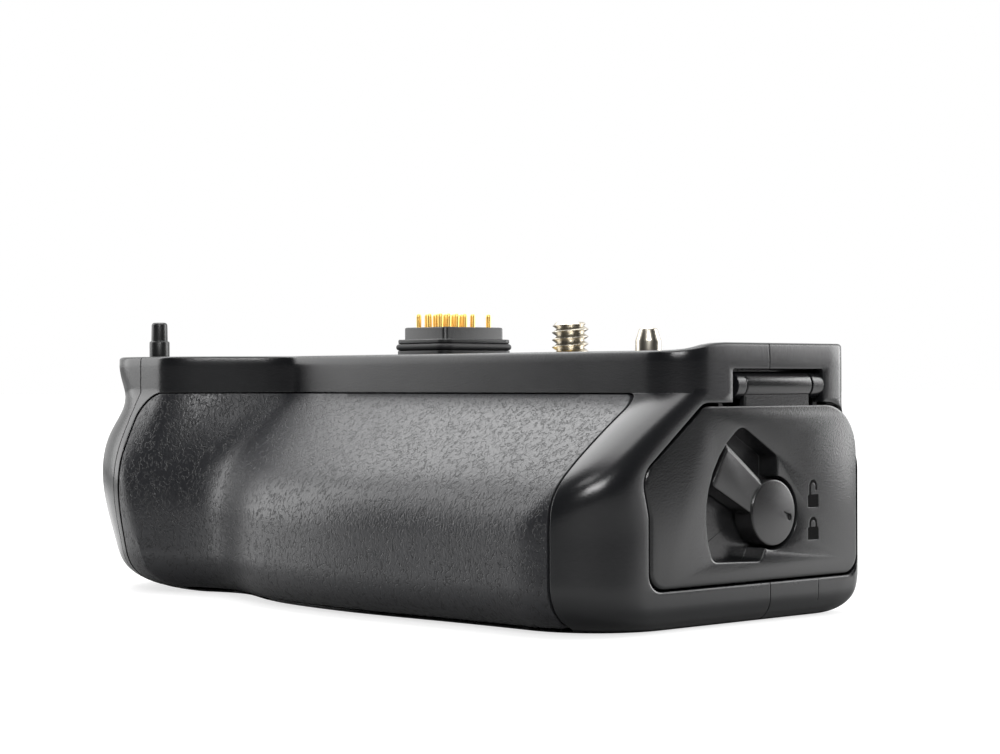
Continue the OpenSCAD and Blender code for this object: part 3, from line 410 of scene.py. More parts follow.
def make_grain():
    """Spark-eroded mould grain: fine noise of a given size in mm with shallow pits, and broad unevenness."""
    tree, have, give = group("mould_grain", {"Vector": "v", "Size": "f"}, {"Height": "f", "Broad": "f"})
    where = have["Vector"]
    scale = calc(tree, "DIVIDE", 1000.0, have["Size"])
    fine = noise(tree, where, scale, Detail=2.0)
    pits = add(tree, "ShaderNodeTexVoronoi", {"Vector": where, "Scale": calc(tree, "MULTIPLY", scale, 0.8)})
    height = calc(tree, "ADD", fine, calc(tree, "MULTIPLY", pits.outputs["Distance"], 0.35))
    tree.links.new(height, give["Height"])
    tree.links.new(noise(tree, where, 70.0, Detail=4.0, Roughness=0.6), give["Broad"])
    return tree


def make_edges():
    """Worn edges: one minus the dot of the face normal and the normal rounded over a radius, broken up by
    noise."""
    tree, have, give = group("worn_edges", {"Vector": "v", "Radius": "f"}, {"Mask": "f", "Normal": "v"})
    soft = add(tree, "ShaderNodeBevel", {"Radius": have["Radius"]}, samples=4).outputs[0]
    flat = add(tree, "ShaderNodeNewGeometry").outputs["Normal"]
    turn = calc(tree, "SUBTRACT", 1.0, vector(tree, "DOT_PRODUCT", soft, flat))
    turn = calc(tree, "MULTIPLY", turn, 5.0, True)
    chips = noise(tree, have["Vector"], 900.0, Detail=3.0)
    patch = calc(tree, "MULTIPLY", calc(tree, "SUBTRACT", chips, 0.35), 2.4, True)
    tree.links.new(calc(tree, "MULTIPLY", turn, patch), give["Mask"])
    tree.links.new(soft, give["Normal"])
    return tree


def make_hide():
    """Wrinkled hide: short creases where warped, stretched noise crosses its middle, broken by a second
    noise, over small raised cells."""
    tree, have, give = group("wrinkled_hide", {"Vector": "v", "Size": "f"}, {"Height": "f", "Crease": "f"})
    scale = calc(tree, "DIVIDE", 1000.0, have["Size"])
    lean = add(tree, "ShaderNodeMapping", {"Vector": have["Vector"], "Rotation": (0.0, 0.35, 0.0),
                                           "Scale": (1.0, 0.8, 0.62)}).outputs[0]
    warp = noise(tree, lean, calc(tree, "MULTIPLY", scale, 0.6), "Color")
    place = vector(tree, "ADD", lean, vector(tree, "MULTIPLY", warp, (0.0009, 0.0009, 0.0009)))
    folds = noise(tree, place, scale, Detail=1.5, Roughness=0.4)
    line = ramp(tree, calc(tree, "ABSOLUTE", calc(tree, "SUBTRACT", folds, 0.5)), 0.0, 0.055)
    gaps = noise(tree, place, calc(tree, "MULTIPLY", scale, 0.8), Detail=0.0)
    line = calc(tree, "MAXIMUM", line, ramp(tree, gaps, 0.5, 0.62))
    cells = add(tree, "ShaderNodeTexVoronoi", {"Vector": place, "Scale": calc(tree, "MULTIPLY", scale, 1.1)},
                feature="DISTANCE_TO_EDGE")
    cell = ramp(tree, cells.outputs["Distance"], 0.0, 0.3)
    height = calc(tree, "ADD", calc(tree, "MULTIPLY", line, 0.75), calc(tree, "MULTIPLY", cell, 0.25))
    tree.links.new(height, give["Height"])
    tree.links.new(calc(tree, "SUBTRACT", 1.0, line), give["Crease"])
    return tree


GRAIN, EDGES, HIDE = make_grain(), make_edges(), make_hide()


def blank(name):
    """New node material with its tree, shader and object coordinates."""
    made = bpy.data.materials.new(name)
    made.use_nodes = True
    tree = made.node_tree
    return made, tree, tree.nodes["Principled BSDF"], add(tree, "ShaderNodeTexCoord").outputs["Object"]


def use(tree, effect, sockets):
    """Outputs of a node group placed in a material with its own values."""
    return add(tree, "ShaderNodeGroup", sockets, node_tree=effect).outputs


def bumped(tree, height, normal, depth):
    """Normal tilted by a height of 0 to 1 over a depth in mm."""
    return add(tree, "ShaderNodeBump", {"Height": height, "Normal": normal, "Strength": 1.0,
                                        "Distance": depth * MM}).outputs[0]


def shade(tree, colour, broad, wear_and_shade, mask):
    """Colour made uneven by a broad noise and turned to a second colour where the mask says: the worn colour
    along worn edges of moulded finishes, painted shade in the creases of the hide.
    """
    level = tone(tree, broad, 0.78, 1.22)
    uneven = add(tree, "ShaderNodeMix", {"Factor": 1.0, 6: (*colour, 1.0), 7: level}, data_type="RGBA",
                 blend_type="MULTIPLY").outputs[2]
    both = {"Factor": mask, 6: uneven, 7: (*wear_and_shade, 1.0)}
    return add(tree, "ShaderNodeMix", both, data_type="RGBA").outputs[2]


def moulded(name, colour, rough, size, depth, wear=0.35, metal=0.0, edge=0.00022):
    """Moulded, cast or drawn finish: grain of a size in mm and a depth in mm, uneven gloss and worn edges."""
    made, tree, shader, where = blank(name)
    grain = use(tree, GRAIN, {"Vector": where, "Size": size})
    edges = use(tree, EDGES, {"Vector": where, "Radius": edge})
    wear_and_shade = tuple(min(1.0, c * 1.25 + 0.05) for c in colour)
    mask = calc(tree, "MULTIPLY", edges["Mask"], wear)
    tree.links.new(shade(tree, colour, grain["Broad"], wear_and_shade, mask), shader.inputs["Base Color"])
    tree.links.new(tone(tree, grain["Broad"], rough - 0.07, rough + 0.07), shader.inputs["Roughness"])
    tree.links.new(bumped(tree, grain["Height"], edges["Normal"], depth), shader.inputs["Normal"])
    shader.inputs["Metallic"].default_value = metal
    return made


def hide(name, colour, rough, size, depth):
    """Rubber skin with a wrinkled hide grain, duller in its creases and darkened there by painted shade."""
    made, tree, shader, where = blank(name)
    skin = use(tree, HIDE, {"Vector": where, "Size": size})
    grain = use(tree, GRAIN, {"Vector": where, "Size": 0.22})
    edges = use(tree, EDGES, {"Vector": where, "Radius": 0.0003})
    # Painted shade: the creases are darkened to a quarter of the skin's colour, standing in for the shade that
    # falls in them.
    painted_crease_shade = tuple(c * 0.25 for c in colour)
    mask = calc(tree, "MULTIPLY", skin["Crease"], 0.85)
    tree.links.new(shade(tree, colour, grain["Broad"], painted_crease_shade, mask), shader.inputs["Base Color"])
    tree.links.new(tone(tree, skin["Crease"], rough, rough + 0.2), shader.inputs["Roughness"])
    fine = bumped(tree, grain["Height"], edges["Normal"], 0.01)
    tree.links.new(bumped(tree, skin["Height"], fine, depth), shader.inputs["Normal"])
    return made


SHELL = moulded("satin_shell", (0.009, 0.0095, 0.0105), 0.25, 0.30, 0.010)
DOOR = moulded("door_plastic", (0.013, 0.0135, 0.014), 0.21, 0.34, 0.014)
KNOB = moulded("knob_plastic", (0.015, 0.015, 0.0155), 0.22, 0.26, 0.008)
SKIN = hide("hide_rubber", (0.018, 0.0185, 0.021), 0.33, 0.74, 0.055)
FITTING = moulded("fitting_plastic", (0.011, 0.0115, 0.012), 0.36, 0.25, 0.008)
SEAL = moulded("seal_rubber_black", (0.012, 0.012, 0.013), 0.55, 0.4, 0.010, wear=0.1)
CHAMBER = moulded("chamber_plastic_grey", (0.045, 0.047, 0.050), 0.5, 0.4, 0.014)
CATCH = moulded("catch_plastic_orange", (0.55, 0.14, 0.03), 0.42, 0.3, 0.010)
BASE = moulded("base_alloy", (0.028, 0.029, 0.030), 0.42, 0.35, 0.014)
NICKEL = moulded("nickel_plate", (0.60, 0.56, 0.48), 0.30, 0.5, 0.004, wear=0.4, metal=1.0, edge=0.0001)
STEEL = moulded("bright_steel", (0.50, 0.50, 0.51), 0.30, 0.4, 0.004, wear=0.4, metal=1.0, edge=0.0001)
GOLD = moulded("gold_plate", (0.86, 0.56, 0.16), 0.36, 0.4, 0.003, wear=0.2, metal=1.0, edge=0.0001)
BRONZE = moulded("bush_bronze", (0.50, 0.37, 0.16), 0.34, 0.4, 0.005, wear=0.3, metal=1.0, edge=0.0001)
WHEEL = moulded("wheel_alloy", (0.16, 0.16, 0.165), 0.38, 0.3, 0.008, wear=0.6, metal=1.0, edge=0.00015)
BOARD = moulded("board_green", (0.010, 0.085, 0.038), 0.34, 0.8, 0.006, wear=0.3)
PRINT = moulded("mark_print", (0.004, 0.004, 0.004), 0.6, 0.2, 0.003, wear=0.0)
PRINT.node_tree.nodes["Principled BSDF"].inputs["Specular IOR Level"].default_value = 0.03


def dress(piece, body, slot, finish, *nodes, angle=32):
    """Gives a piece its finish and its body, and says which nodes it stands for; the slot it is given is not
    used.
    """
    piece.data.materials.clear()
    piece.data.materials.append(finish)
    smooth(piece, angle)
    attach(piece, body)
    for name in nodes:
        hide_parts(name)
    return piece


# Shells and skin

def heights():
    """Heights of the body's sections: close together where the base is rounded, then even up to the seam."""
    low = BASE_ROUND * (1 - np.cos(np.radians(np.linspace(0, 90, 17))))
    return np.concatenate([low, np.linspace(BASE_ROUND, SEAM_Z, 31)[1:]])


def cup(name):
    """Both shells as one cup: outlines up the outside, over the rounded rim, and down the inside."""
    outer = rings(heights(), 0.0)
    top = rim_top(outer[-1, :, 0], outer[-1, :, 1])
    s, c = quarter(5)
    climb = rings(np.linspace(SEAM_Z, RIM_FLAT, 7)[1:], 0.0)
    over = rings(np.full(5, TOP_Z), RIM_EDGE * c)
    over[:, :, 2] = top - RIM_EDGE + RIM_EDGE * s[:, None]
    back = rings(np.full(5, TOP_Z), WALL - RIM_INNER + RIM_INNER * s)
    back[:, :, 2] = top - RIM_INNER * c[:, None]
    inside = [RIM_FLAT, 40, 38.4, SEAM_Z, 35, 33, 31, 29, 25, 21, 17, 13, 9, 6, 4, WALL]
    return solid(name, np.concatenate([outer, climb, over, back, rings(np.array(inside), WALL)]))


def door_plan(g):
    """Outline of the battery door in [y, z], grown by g."""
    return rounded([
        [-DOOR_FRONT - g, DOOR_BOTTOM - g, 3], [DOOR_REAR + g, DOOR_BOTTOM - g, 3],
        [DOOR_REAR + g, DOOR_TOP + g, DOOR_ROUND + g], [SLOPE_Y - g / 2, DOOR_TOP + g, 3.5],
        [-DOOR_FRONT - BELLY - g, DOOR_TOP - BELLY_DROP, 4], [-DOOR_FRONT - g, DOOR_TOP - KNEE_DROP, 3],
    ])


def lipped(inner, edge, gap, lip):
    """Levels of a tool that leaves a rounded lip: straight up to the edge, then a quarter round outwards."""
    s, c = quarter(4)
    bend = list(zip(edge - lip + lip * s, gap + lip * c))
    return [(inner, gap), (edge - lip, gap)] + bend + [(edge + 6, gap + lip)]


def flared(name, r, depth, lip, past, place, axis, steps=64):
    """Tool for a round hole: a bore of radius r to a depth, a flare by the lip, and on past the wall."""
    wide = r + lip
    shape = [[0, 0], [r, 0], [r, depth], [wide, depth + lip], [wide, past], [0, past]]
    return turned(name, shape, place, axis, steps)


def openings():
    """Tools for the openings in the shells: base, doorway, hinge recess, controls and thumbwheel."""
    base = box_plan(BASE_X0, BASE_Y0, BASE_X1, BASE_Y1, 4)
    hinge = box_plan(HINGE_Y0, DOOR_TOP - 0.5, HINGE_Y1, HINGE_Z + 2.6, 0.5)
    lock = box_plan(LOCK_X - 2.8, FN_Z - 2, LOCK_X + 5.8, FN_Z + 2, 0.8)
    back = REAR_FACE - REAR_DEPTH
    return [
        stacked("t_base", [(-1.0, 0.1), (1.62, 0.1)], base, "z"),
        stacked("t_floor", [(-1.0, -5.0), (4.0, -5.0)], base, "z"),
        stacked("t_door", lipped(FACE_IN - 1, END_X, 0.3, 0.35), door_plan, "x"),
        stacked("t_hinge", lipped(38.15, END_X, 0.0, 0.3), hinge, "x"),
        flared("t_release", 9.7, 8.1, 0.4, 14, (REL_X + 3, REL_Y, REL_Z), OUT_FAR),
        flared("t_dial", 8.9, 3.9, 0.35, 9, (DIAL_X, back, DIAL_Z), ALONG_Y),
        *[flared("t_fn", 3.5, 3.95, 0.3, 9, (x, back, FN_Z), ALONG_Y, 40) for x in FN_X.values()],
        stacked("t_lock", lipped(back, REAR_FACE, 0.0, 0.25), lock, "y"),
        turned("t_wheel", [[0, 35.5], [9.2, 35.5], [9.2, 41.9], [0, 41.9]], (0, WHEEL_Y, 0), ALONG_Z),
    ]


def front_half(shift):
    """Everything in front of the parting line, which turns forward at the far end's cap."""
    edge, cap = PART_Y - shift, shift - CAP_X
    plan = polygon([[90, edge], [cap, edge], [cap, -90], [90, -90]])
    return stacked("t_front", [(-2.0, 0), (60.0, 0)], plan, "z")


def skin_tool(g):
    """Where the skin lies, seen from the front: under the seam, from the far end's cap to the door end."""
    left, right = -CAP_X + SKIN_FROM_CAP - g, SKIN_RIGHT + g
    low, top = SKIN_LOW - g, SKIN_TOP + g / 2
    face = rounded([[left, low, 1], [right, low, 1], [right, top, 3], [left, top, 5]])
    return stacked("t_skin", [(-80.0, 0), (SKIN_Y + g, 0)], polygon(face), "y")


def core(d):
    """Solid of the body's form inset by d, from below the base up past the seam."""
    z = np.concatenate([[-1.0], heights()[1:], [40.0]])
    rows = rings(np.maximum(z, 0.0), d)
    rows[:, :, 2] = z[:, None]
    return solid("t_core", rows)


front_shell = cup("front_shell_form")
rear_shell = cup("rear_shell_form")
carve(front_shell, openings())
carve(front_shell, [front_half(0.1)], "INTERSECT")
carve(front_shell, [carve(skin_tool(BED_GROWTH), [core(SKIN_BED)])])
carve(rear_shell, openings())
carve(rear_shell, [front_half(-0.1),
                   stacked("t_line", [(END_X - LINE_DEPTH, 0), (END_X + 1, 0)],
                           box_plan(LINE_Y, -1, LINE_Y + LINE_W, LINE_TOP, 0.05), "x")])
dress(front_shell, "body", "shell_plastic", SHELL, "front_shell")
dress(rear_shell, "body", "shell_plastic", SHELL, "rear_shell")

skin = core(SKIN_OUT)
carve(skin, [skin_tool(SKIN_GROWTH)], "INTERSECT")
carve(skin, [core(SKIN_IN)])
dress(skin, "body", "grip_skin", SKIN, "grip_rubber")
skin.name = "grip_skin_form"


# Battery door and latch

def pocket_plan(g):
    """Outline of the pocket's wing side in [y, z]: a wide arc round the wing's sweep between round corners."""
    corners = rounded([[-14.5, -7.2, 1.8], [-19.8, 5.7, 16], [-7.6, 14.1, 2.2], [1.0, 9.1, 0.8],
                       [1.0, 0, 0.5], [-3.2, -7.6, 0.9]])
    middle = np.array([-7.0, 2.5])
    return (corners - middle) * (1 + g / 9) + middle + [KNOB_Y, KNOB_Z]


def padlock(name, z, lift, x0, x1):
    """Padlock sign between two depths in the door: a bar for the body and an arched bow, which the lift
    leaves open on one side."""
    y, depths = MARK_Y, [(x0, 0), (x1, 0)]
    body = stacked(name, depths, box_plan(y - MARK_HALF, z - MARK_H, y + MARK_HALF, z + 0.1, 0.25), "x")
    a = np.radians(np.linspace(180, 0, 25))
    arch = np.stack([np.cos(a), np.sin(a) * 1.15], 1)
    leg = 0.6 + lift
    outer = np.vstack([[[y - BOW_R, z]], arch * BOW_R + [y, z + leg], [[y + BOW_R, z + lift]]])
    inner = np.vstack([[[y + BOW_IN, z + lift]], arch[::-1] * BOW_IN + [y, z + leg], [[y - BOW_IN, z]]])
    return carve(body, [stacked("bow", depths, polygon(np.vstack([outer, inner])), "x")], "UNION")


def swing(z):
    """Distance from the hinge axis to the door's outer edge at a height, with a little to spare."""
    return np.hypot(END_X - HINGE_X, HINGE_Z - z) + 0.15


def barrel(name, y0, y1, r, edge):
    """Bar on the hinge axis with rounded ends."""
    s, c = quarter(4)
    low = np.stack([r - edge + edge * s, y0 + edge - edge * (1 - c)], 1)
    high = np.stack([r - edge * c, y1 - edge + edge * s], 1)
    shape = np.vstack([[[0, y0], [r - edge, y0]], low, high, [[0, y1]]])
    return turned(name, shape, (HINGE_X, 0, HINGE_Z), ALONG_Y)


def make_door():
    """Plate with a rounded outer edge and a top that clears its swing, its hinge barrel, the cup behind the
    pocket, and the sunk places of the signs."""
    s, c = quarter(5)
    knob_axis, hinge_axis = (0, KNOB_Y, KNOB_Z), (HINGE_X, 0, HINGE_Z)
    edge = list(zip(END_X - DOOR_EDGE + DOOR_EDGE * s, -DOOR_EDGE * c))
    door = stacked("battery_door_form", [(FACE_IN, 0.0), (END_X - DOOR_EDGE, 0.0)] + edge, door_plan, "x")
    b = np.radians(np.linspace(0, 90, 13))
    bend = np.stack([swing(DOOR_TOP - DOOR_ROUND * (1 - np.cos(b))),
                     DOOR_REAR - DOOR_ROUND * (1 - np.sin(b))], 1)
    relief = np.vstack([[[0, -DOOR_FRONT - 6], [swing(DOOR_TOP - BELLY_DROP), -DOOR_FRONT - BELLY],
                         [swing(DOOR_TOP), SLOPE_Y]], bend, [[0, DOOR_REAR + 6]]])
    carve(door, [turned("t_relief", relief, hinge_axis, ALONG_Y, 128)])
    boss, cup_top = KNOB_R + 1.7, FACE_IN + 0.5
    carve(door, [
        stacked("t_cup", [(CUP_X, 1.0), (cup_top, 1.0)], pocket_plan, "x"),
        barrel("t_barrel", BARREL_Y0, BARREL_Y1, HINGE_R, 0.25),
        turned("t_boss", [[0, CUP_X], [boss, CUP_X], [boss, cup_top], [0, cup_top]], knob_axis, ALONG_X),
        stacked("t_web", [(FACE_IN + 0.4, 0.0), (END_X - 0.9, 0.0), (END_X - 0.7, -0.2)],
                box_plan(BARREL_Y0, DOOR_TOP - 2, BARREL_Y1, HINGE_Z, 0.4), "x"),
    ], "UNION")
    ring = [[0, POCKET_X], [KNOB_R + 0.6, POCKET_X], [KNOB_R + 0.6, END_X - 0.3],
            [KNOB_R + 0.7, END_X - 0.08], [KNOB_R + 0.9, END_X], [KNOB_R + 0.9, END_X + 2], [0, END_X + 2]]
    return carve(door, [
        stacked("t_pocket", lipped(POCKET_X, END_X, 0.0, 0.3), pocket_plan, "x"),
        turned("t_ring", ring, knob_axis, ALONG_X, 96),
        turned("t_bore", [[0, -2], [1.55, -2], [1.55, 6], [0, 6]], (CUP_X, KNOB_Y, KNOB_Z), ALONG_X, 32),
        turned("t_pinhole", [[0, -5], [PINHOLE_R, -5], [PINHOLE_R, 14], [0, 14]], hinge_axis, ALONG_Y, 32),
        *[padlock("t_mark", z, lift, END_X - MARK_DEPTH, END_X + 1) for z, lift in MARKS.values()],
    ])


dress(make_door(), "door", "shell_plastic", DOOR, "battery_door")


def wing_step(x0, out, top):
    """One step of the knob's wing: a rounded wedge whose lower side lies further out by the given amount."""
    def plan(g):
        low, high = -WING_HALF - out - g, WING_HALF + g
        far = WING_REACH * np.sin(radians(WING_TIP + g * 3))
        reach = WING_REACH * np.cos(radians(WING_TIP)) + g
        shape = rounded([[0, high, 0.2], [0, low, 0.2], [reach - out * 0.3, -far - out, 0.4],
                         [reach, far, 0.8]])
        return spun(shape, WING_TURN) + [KNOB_Y, KNOB_Z]
    s, c = quarter(5)
    edge = list(zip(top - WING_EDGE + WING_EDGE * s, -WING_EDGE * c))
    return stacked("t_wing", [(x0, 0.0), (top - WING_EDGE, 0.0)] + edge, plan, "x")


def make_knob():
    """Disc with a rounded edge over a flat wing; the wing's lower side steps down in two ridges, and a
    drop-shaped mark is sunk into the disc."""
    x0, wing_top = POCKET_X + 0.3, END_X - 0.3
    s, c = quarter(5)
    rim = np.stack([KNOB_R - KNOB_EDGE * c, END_X - KNOB_EDGE + KNOB_EDGE * s], 1)
    disc = np.vstack([[[0, x0], [KNOB_R, x0], [KNOB_R, END_X - KNOB_EDGE]], rim, [[0, END_X]]])
    knob = turned("latch_knob_form", disc, (0, KNOB_Y, KNOB_Z), ALONG_X, 96)
    shaft = [[0, -3], [1.5, -3], [1.5, 0.5], [0, 0.5]]
    carve(knob, [*[wing_step(x0, k * STEP_OUT, wing_top - k * STEP_DOWN) for k in range(3)],
                 turned("t_shaft", shaft, (x0, KNOB_Y, KNOB_Z), ALONG_X, 32)], "UNION")
    b = np.radians(np.linspace(-120, 120, 17))
    drop = np.vstack([np.stack([DROP_R * np.cos(b), DROP_R * np.sin(b)], 1), [[-1.9, 0.35]]])
    drop = spun(drop, DROP_TURN) + [KNOB_Y + 3.9, KNOB_Z - 0.85]
    return carve(knob, [stacked("t_drop", [(END_X - DROP_DEPTH, 0), (END_X + 1, 0)], polygon(drop), "x")])


dress(make_knob(), "latch", "black_plastic", KNOB, "latch_knob")

# Open and closed padlocks beside the knob
for name, (z, lift) in MARKS.items():
    dress(padlock(name, z, lift, END_X - MARK_DEPTH, END_X - 0.02), "door", "black_plastic", PRINT)


# Camera fixing and connector

def make_screw():
    """Threaded shank: radius falls from crest to root by a sharp V that climbs one pitch a turn, under a
    chamfered top; the shank below the top face is plain."""
    top = TOP_Z + SCREW_H
    a = np.linspace(0, 2 * np.pi, THREAD_STEPS, endpoint=False)
    z = np.linspace(TOP_Z + 0.1, top, 90)
    turn = (z[:, None] / THREAD_PITCH - a / (2 * np.pi)) % 1.0
    vee = np.clip(np.abs(2 * turn - 1) * 1.18 - 0.10, 0.0, 1.0)
    r = THREAD_R - 0.62 * THREAD_PITCH * vee
    r = np.minimum(r, THREAD_R - SCREW_CHAMFER + np.clip(top - z, 0, SCREW_CHAMFER)[:, None])
    thread = np.stack([r * np.cos(a), r * np.sin(a), np.broadcast_to(z[:, None], r.shape)], -1)

    def plain(shape):
        """Rings of a turned profile [radius, height] about Z."""
        return np.stack([np.stack([q * np.cos(a), q * np.sin(a), np.full(a.shape, h)], -1) for q, h in shape])

    shank = plain([(0.0, 34.3), (2.0, 34.3), (2.0, 35.8), (2.6, 35.8), (2.6, TOP_Z + 0.05)])
    return solid("tripod_screw_form", np.concatenate([shank, thread, plain([(1.4, top), (0.0, top)])]))


dress(make_screw(), "screw", "nickel", NICKEL, "tripod_screw", angle=40)

s4, c4 = quarter(4)
pin = np.vstack([[[0, -1.58], [1.1, -1.58], [1.1, 0.02], [2.2, 0.02], [2.2, 1.95], [2.17, 2.1], [1.62, 3.75]],
                 np.stack([1.57 - 0.3 * c4, 3.8 + 0.3 * s4], 1), [[0, 4.1]]])
dress(turned("guide_pin_form", pin, (GUIDE_PIN_X, 0, TOP_Z), ALONG_Z, 48), "body", "nickel", NICKEL,
      "guide_pin")
peg = np.vstack([[[0, -1.58], [0.95, -1.58], [0.95, 0.02], [1.9, 0.02], [1.9, 2.75], [1.85, 2.9], [1.55, 3.1],
                  [1.5, 6.0]], np.stack([1.5 - 0.6 * c4, 6.0 + 0.6 * s4], 1), [[0, 6.6]]])
dress(turned("guide_peg_form", peg, (PEG_X, PEG_Y, TOP_Z), ALONG_Z, 48), "body", "black_plastic", FITTING,
      "guide_peg")


def conn_plan(g):
    """Connector outline grown by g on each side, with one round for all four corners."""
    half_l, half_w = CONN_L / 2 + g, CONN_W / 2 + g
    r = CONN_ROUND + max(0.0, g) * 0.95
    left, right = CONN_X - half_l, CONN_X + half_l
    return rounded([[left, -half_w, r], [right, -half_w, r], [right, half_w, r], [left, half_w, r]])


def make_housing():
    """Connector block: two flanges with a waist between for the gasket, and a block with rounded edges."""
    z = TOP_Z
    return stacked("connector_housing_form", [
        (CONN_FOOT, -1.1), (z, -1.1), (z + 0.01, 1.15), (z + 0.12, 1.3), (z + 0.75, 1.3), (z + 0.88, 1.18),
        (z + 0.9, 0.3), (z + 2.1, 0.3), (z + 2.12, 1.05), (z + 2.25, 1.2), (z + 2.75, 1.2), (z + 2.88, 1.08),
        (z + 2.9, 0.05), (z + 3.0, 0.0), (z + 4.85, 0.0), (z + 5.03, -0.07), (z + 5.1, -0.25),
    ], conn_plan, "z")


dress(make_housing(), "body", "black_plastic", FITTING, "connector_housing")


def make_gasket():
    """Rubber ring: an oval section carried round the connector's outline."""
    a = np.linspace(0, 2 * np.pi, 24, endpoint=False)
    rows = np.stack([np.column_stack([conn_plan(0.98 + 0.62 * u), np.full(36, TOP_Z + 1.5 + 0.6 * v)])
                     for u, v in zip(np.cos(a), np.sin(a))])
    return solid("connector_gasket_form", rows, wrap_rows=True)


dress(make_gasket(), "body", "seal_rubber", SEAL, "connector_gasket", angle=60)


def make_pins():
    """Seventeen turned pins in one piece: one profile with a domed tip, set at every place of the grid."""
    i, j = np.meshgrid(np.arange(-1, 2), np.arange(-3, 4), indexing="ij")
    keep = ~((j == 2) & (i > -1)) & ~((j == 3) & (i < 1))
    spots = np.stack([CONN_X + i[keep] * CONN_L / PIN_ROWS, j[keep] * CONN_W / PIN_COLS], -1)
    shape = np.array([[0, CONN_FOOT], [PIN_R, CONN_FOOT], [PIN_R, PIN_TOP - 0.55], [0.41, PIN_TOP - 0.3],
                      [0.28, PIN_TOP - 0.08], [0, PIN_TOP]])
    a = np.linspace(0, 2 * np.pi, 20, endpoint=False)
    one = np.stack([shape[:, :1] * np.cos(a), shape[:, :1] * np.sin(a),
                    np.broadcast_to(shape[:, 1:], (len(shape), len(a)))], -1)
    many = one[None] + np.concatenate([spots, np.zeros((len(spots), 1))], 1)[:, None, None, :]
    quads = grid_faces(len(shape), len(a))
    count = one.shape[0] * one.shape[1]
    faces = (quads[None] + np.arange(len(spots))[:, None, None] * count).reshape(-1, 4)
    return put("connector_pins_form", many.reshape(-1, 3), faces)


dress(make_pins(), "body", "gold", GOLD, "connector_pins", angle=50)


# Controls on the far end and the rear

def dial(name, bore, hub, outer, low, high, dish, place, axis):
    """Knurled dial with rounded edges, a shallow dish between its rim and its hub, and a plain bore."""
    s, c = quarter(4)
    base = np.stack([outer - 0.5 * c, low + 0.5 - 0.5 * s, 1 - c], 1)[::-1]
    flank = [[outer, low + 0.5, 1], [outer, high - 0.5, 1]]
    top = np.stack([outer - 0.5 * c, high - 0.5 + 0.5 * s, 1 - c], 1)
    face = [[outer - 1, high, 0], [outer - 1.3, high - dish, 0], [hub + 0.3, high - dish, 0], [hub, high, 0],
            [bore, high, 0], [bore, low, 0]]
    return knurled(name, np.vstack([base, flank, top, face]), place, axis)


release = (REL_X, REL_Y, REL_Z)
dress(dial("front_dial_form", 5.15, 5.6, 8.1, 1.5, 6.5, 0.25, release, OUT_FAR), "ring_dial", "black_plastic",
      FITTING, "front_dial")
dress(dial("rear_dial_form", 1.55, 3.2, 8.5, 0.0, 4.1, 0.4, (DIAL_X, DIAL_Y, DIAL_Z), ALONG_Y), "thumb_dial",
      "black_plastic", FITTING, "rear_dial")
crown = np.radians(np.linspace(0, 90, 17))
button = np.vstack([[[0, 0.2], [2, 0.2], [2, 5.4], [3.6, 5.4], [3.6, 2.6], [4.4, 2.6], [BUTTON_R, 2.8]],
                    np.stack([BUTTON_R * np.cos(crown), 6.0 + 1.2 * np.sin(crown)], 1)])
dress(turned("release_button_form", button, release, OUT_FAR), "release", "black_plastic", FITTING,
      "release_button")
key = np.vstack([[[0, 0], [4.1, 0], [4.1, 1], [FN_R, 1], [FN_R, 4.3]],
                 np.stack([FN_R - FN_EDGE * c4, 4.3 + FN_EDGE * s4], 1), [[0, 4.8]]])
for letter, x in FN_X.items():
    dress(turned(f"fn_button_{letter}_form", key, (x, FN_Y, FN_Z), ALONG_Y, 48), f"fn_{letter}",
          "black_plastic", FITTING, f"fn_button_{letter}")


def make_slider():
    """Sliding tab with rounded edges, a flange behind the shell and three grooves for the thumb."""
    tab = box_plan(LOCK_X - 2.3, FN_Z - 1.8, LOCK_X + 2.3, FN_Z + 1.8, 0.5)
    flange = box_plan(LOCK_X - 4, FN_Z - 3, LOCK_X + 4, FN_Z + 3, 0.3)
    edge = list(zip(SLIDER_FACE + SLIDER_EDGE * s4, -SLIDER_EDGE * c4))
    slider = stacked("lock_slider_form", [(20.1, 0), (SLIDER_FACE, 0)] + edge, tab, "y")
    carve(slider, [stacked("t_flange", [(22.0, 0), (23.1, 0)], flange, "y")], "UNION")
    return carve(slider, [stacked("t_groove", [(SLIDER_FACE + 0.05, 0), (27.5, 0.3)],
                                  box_plan(x - 0.15, FN_Z - 4, x + 0.15, FN_Z + 4, 0.05), "y")
                          for x in (LOCK_X - GROOVE_STEP, LOCK_X, LOCK_X + GROOVE_STEP)])


dress(make_slider(), "lock", "black_plastic", FITTING, "lock_slider")

# Finishes of the solids that stay as they are
CARRIED = [
    (SHELL, ["top_plate", "hinge_bracket"]),
    (FITTING, ["release_bezel", "release_switch", "dial_seat", "contact_block", "gear_tray"]),
    (BASE, ["base_plate"]),
    (CHAMBER, ["battery_chamber"]),
    (CATCH, ["battery_catch"]),
    (SEAL, ["door_seal", "button_pad"]),
    (NICKEL, ["tripod_socket", "screw_gear"]),
    (GOLD, ["battery_contacts"]),
    (BRONZE, ["screw_bush"]),
    (WHEEL, ["thumbwheel", "dial_axle", "base_screws", "top_screws"]),
    (BOARD, ["main_board", "button_board"]),
    (STEEL, ["eject_spring", "catch_pin", "hinge_pin", "hinge_screws", "latch_cam", "latch_screw",
             "board_screws", "thumbwheel_axle", "release_spring"]),
]
for finish, names in CARRIED:
    for name in names:
        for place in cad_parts[name].material_slots:
            place.material = finish


# Stage, light and camera

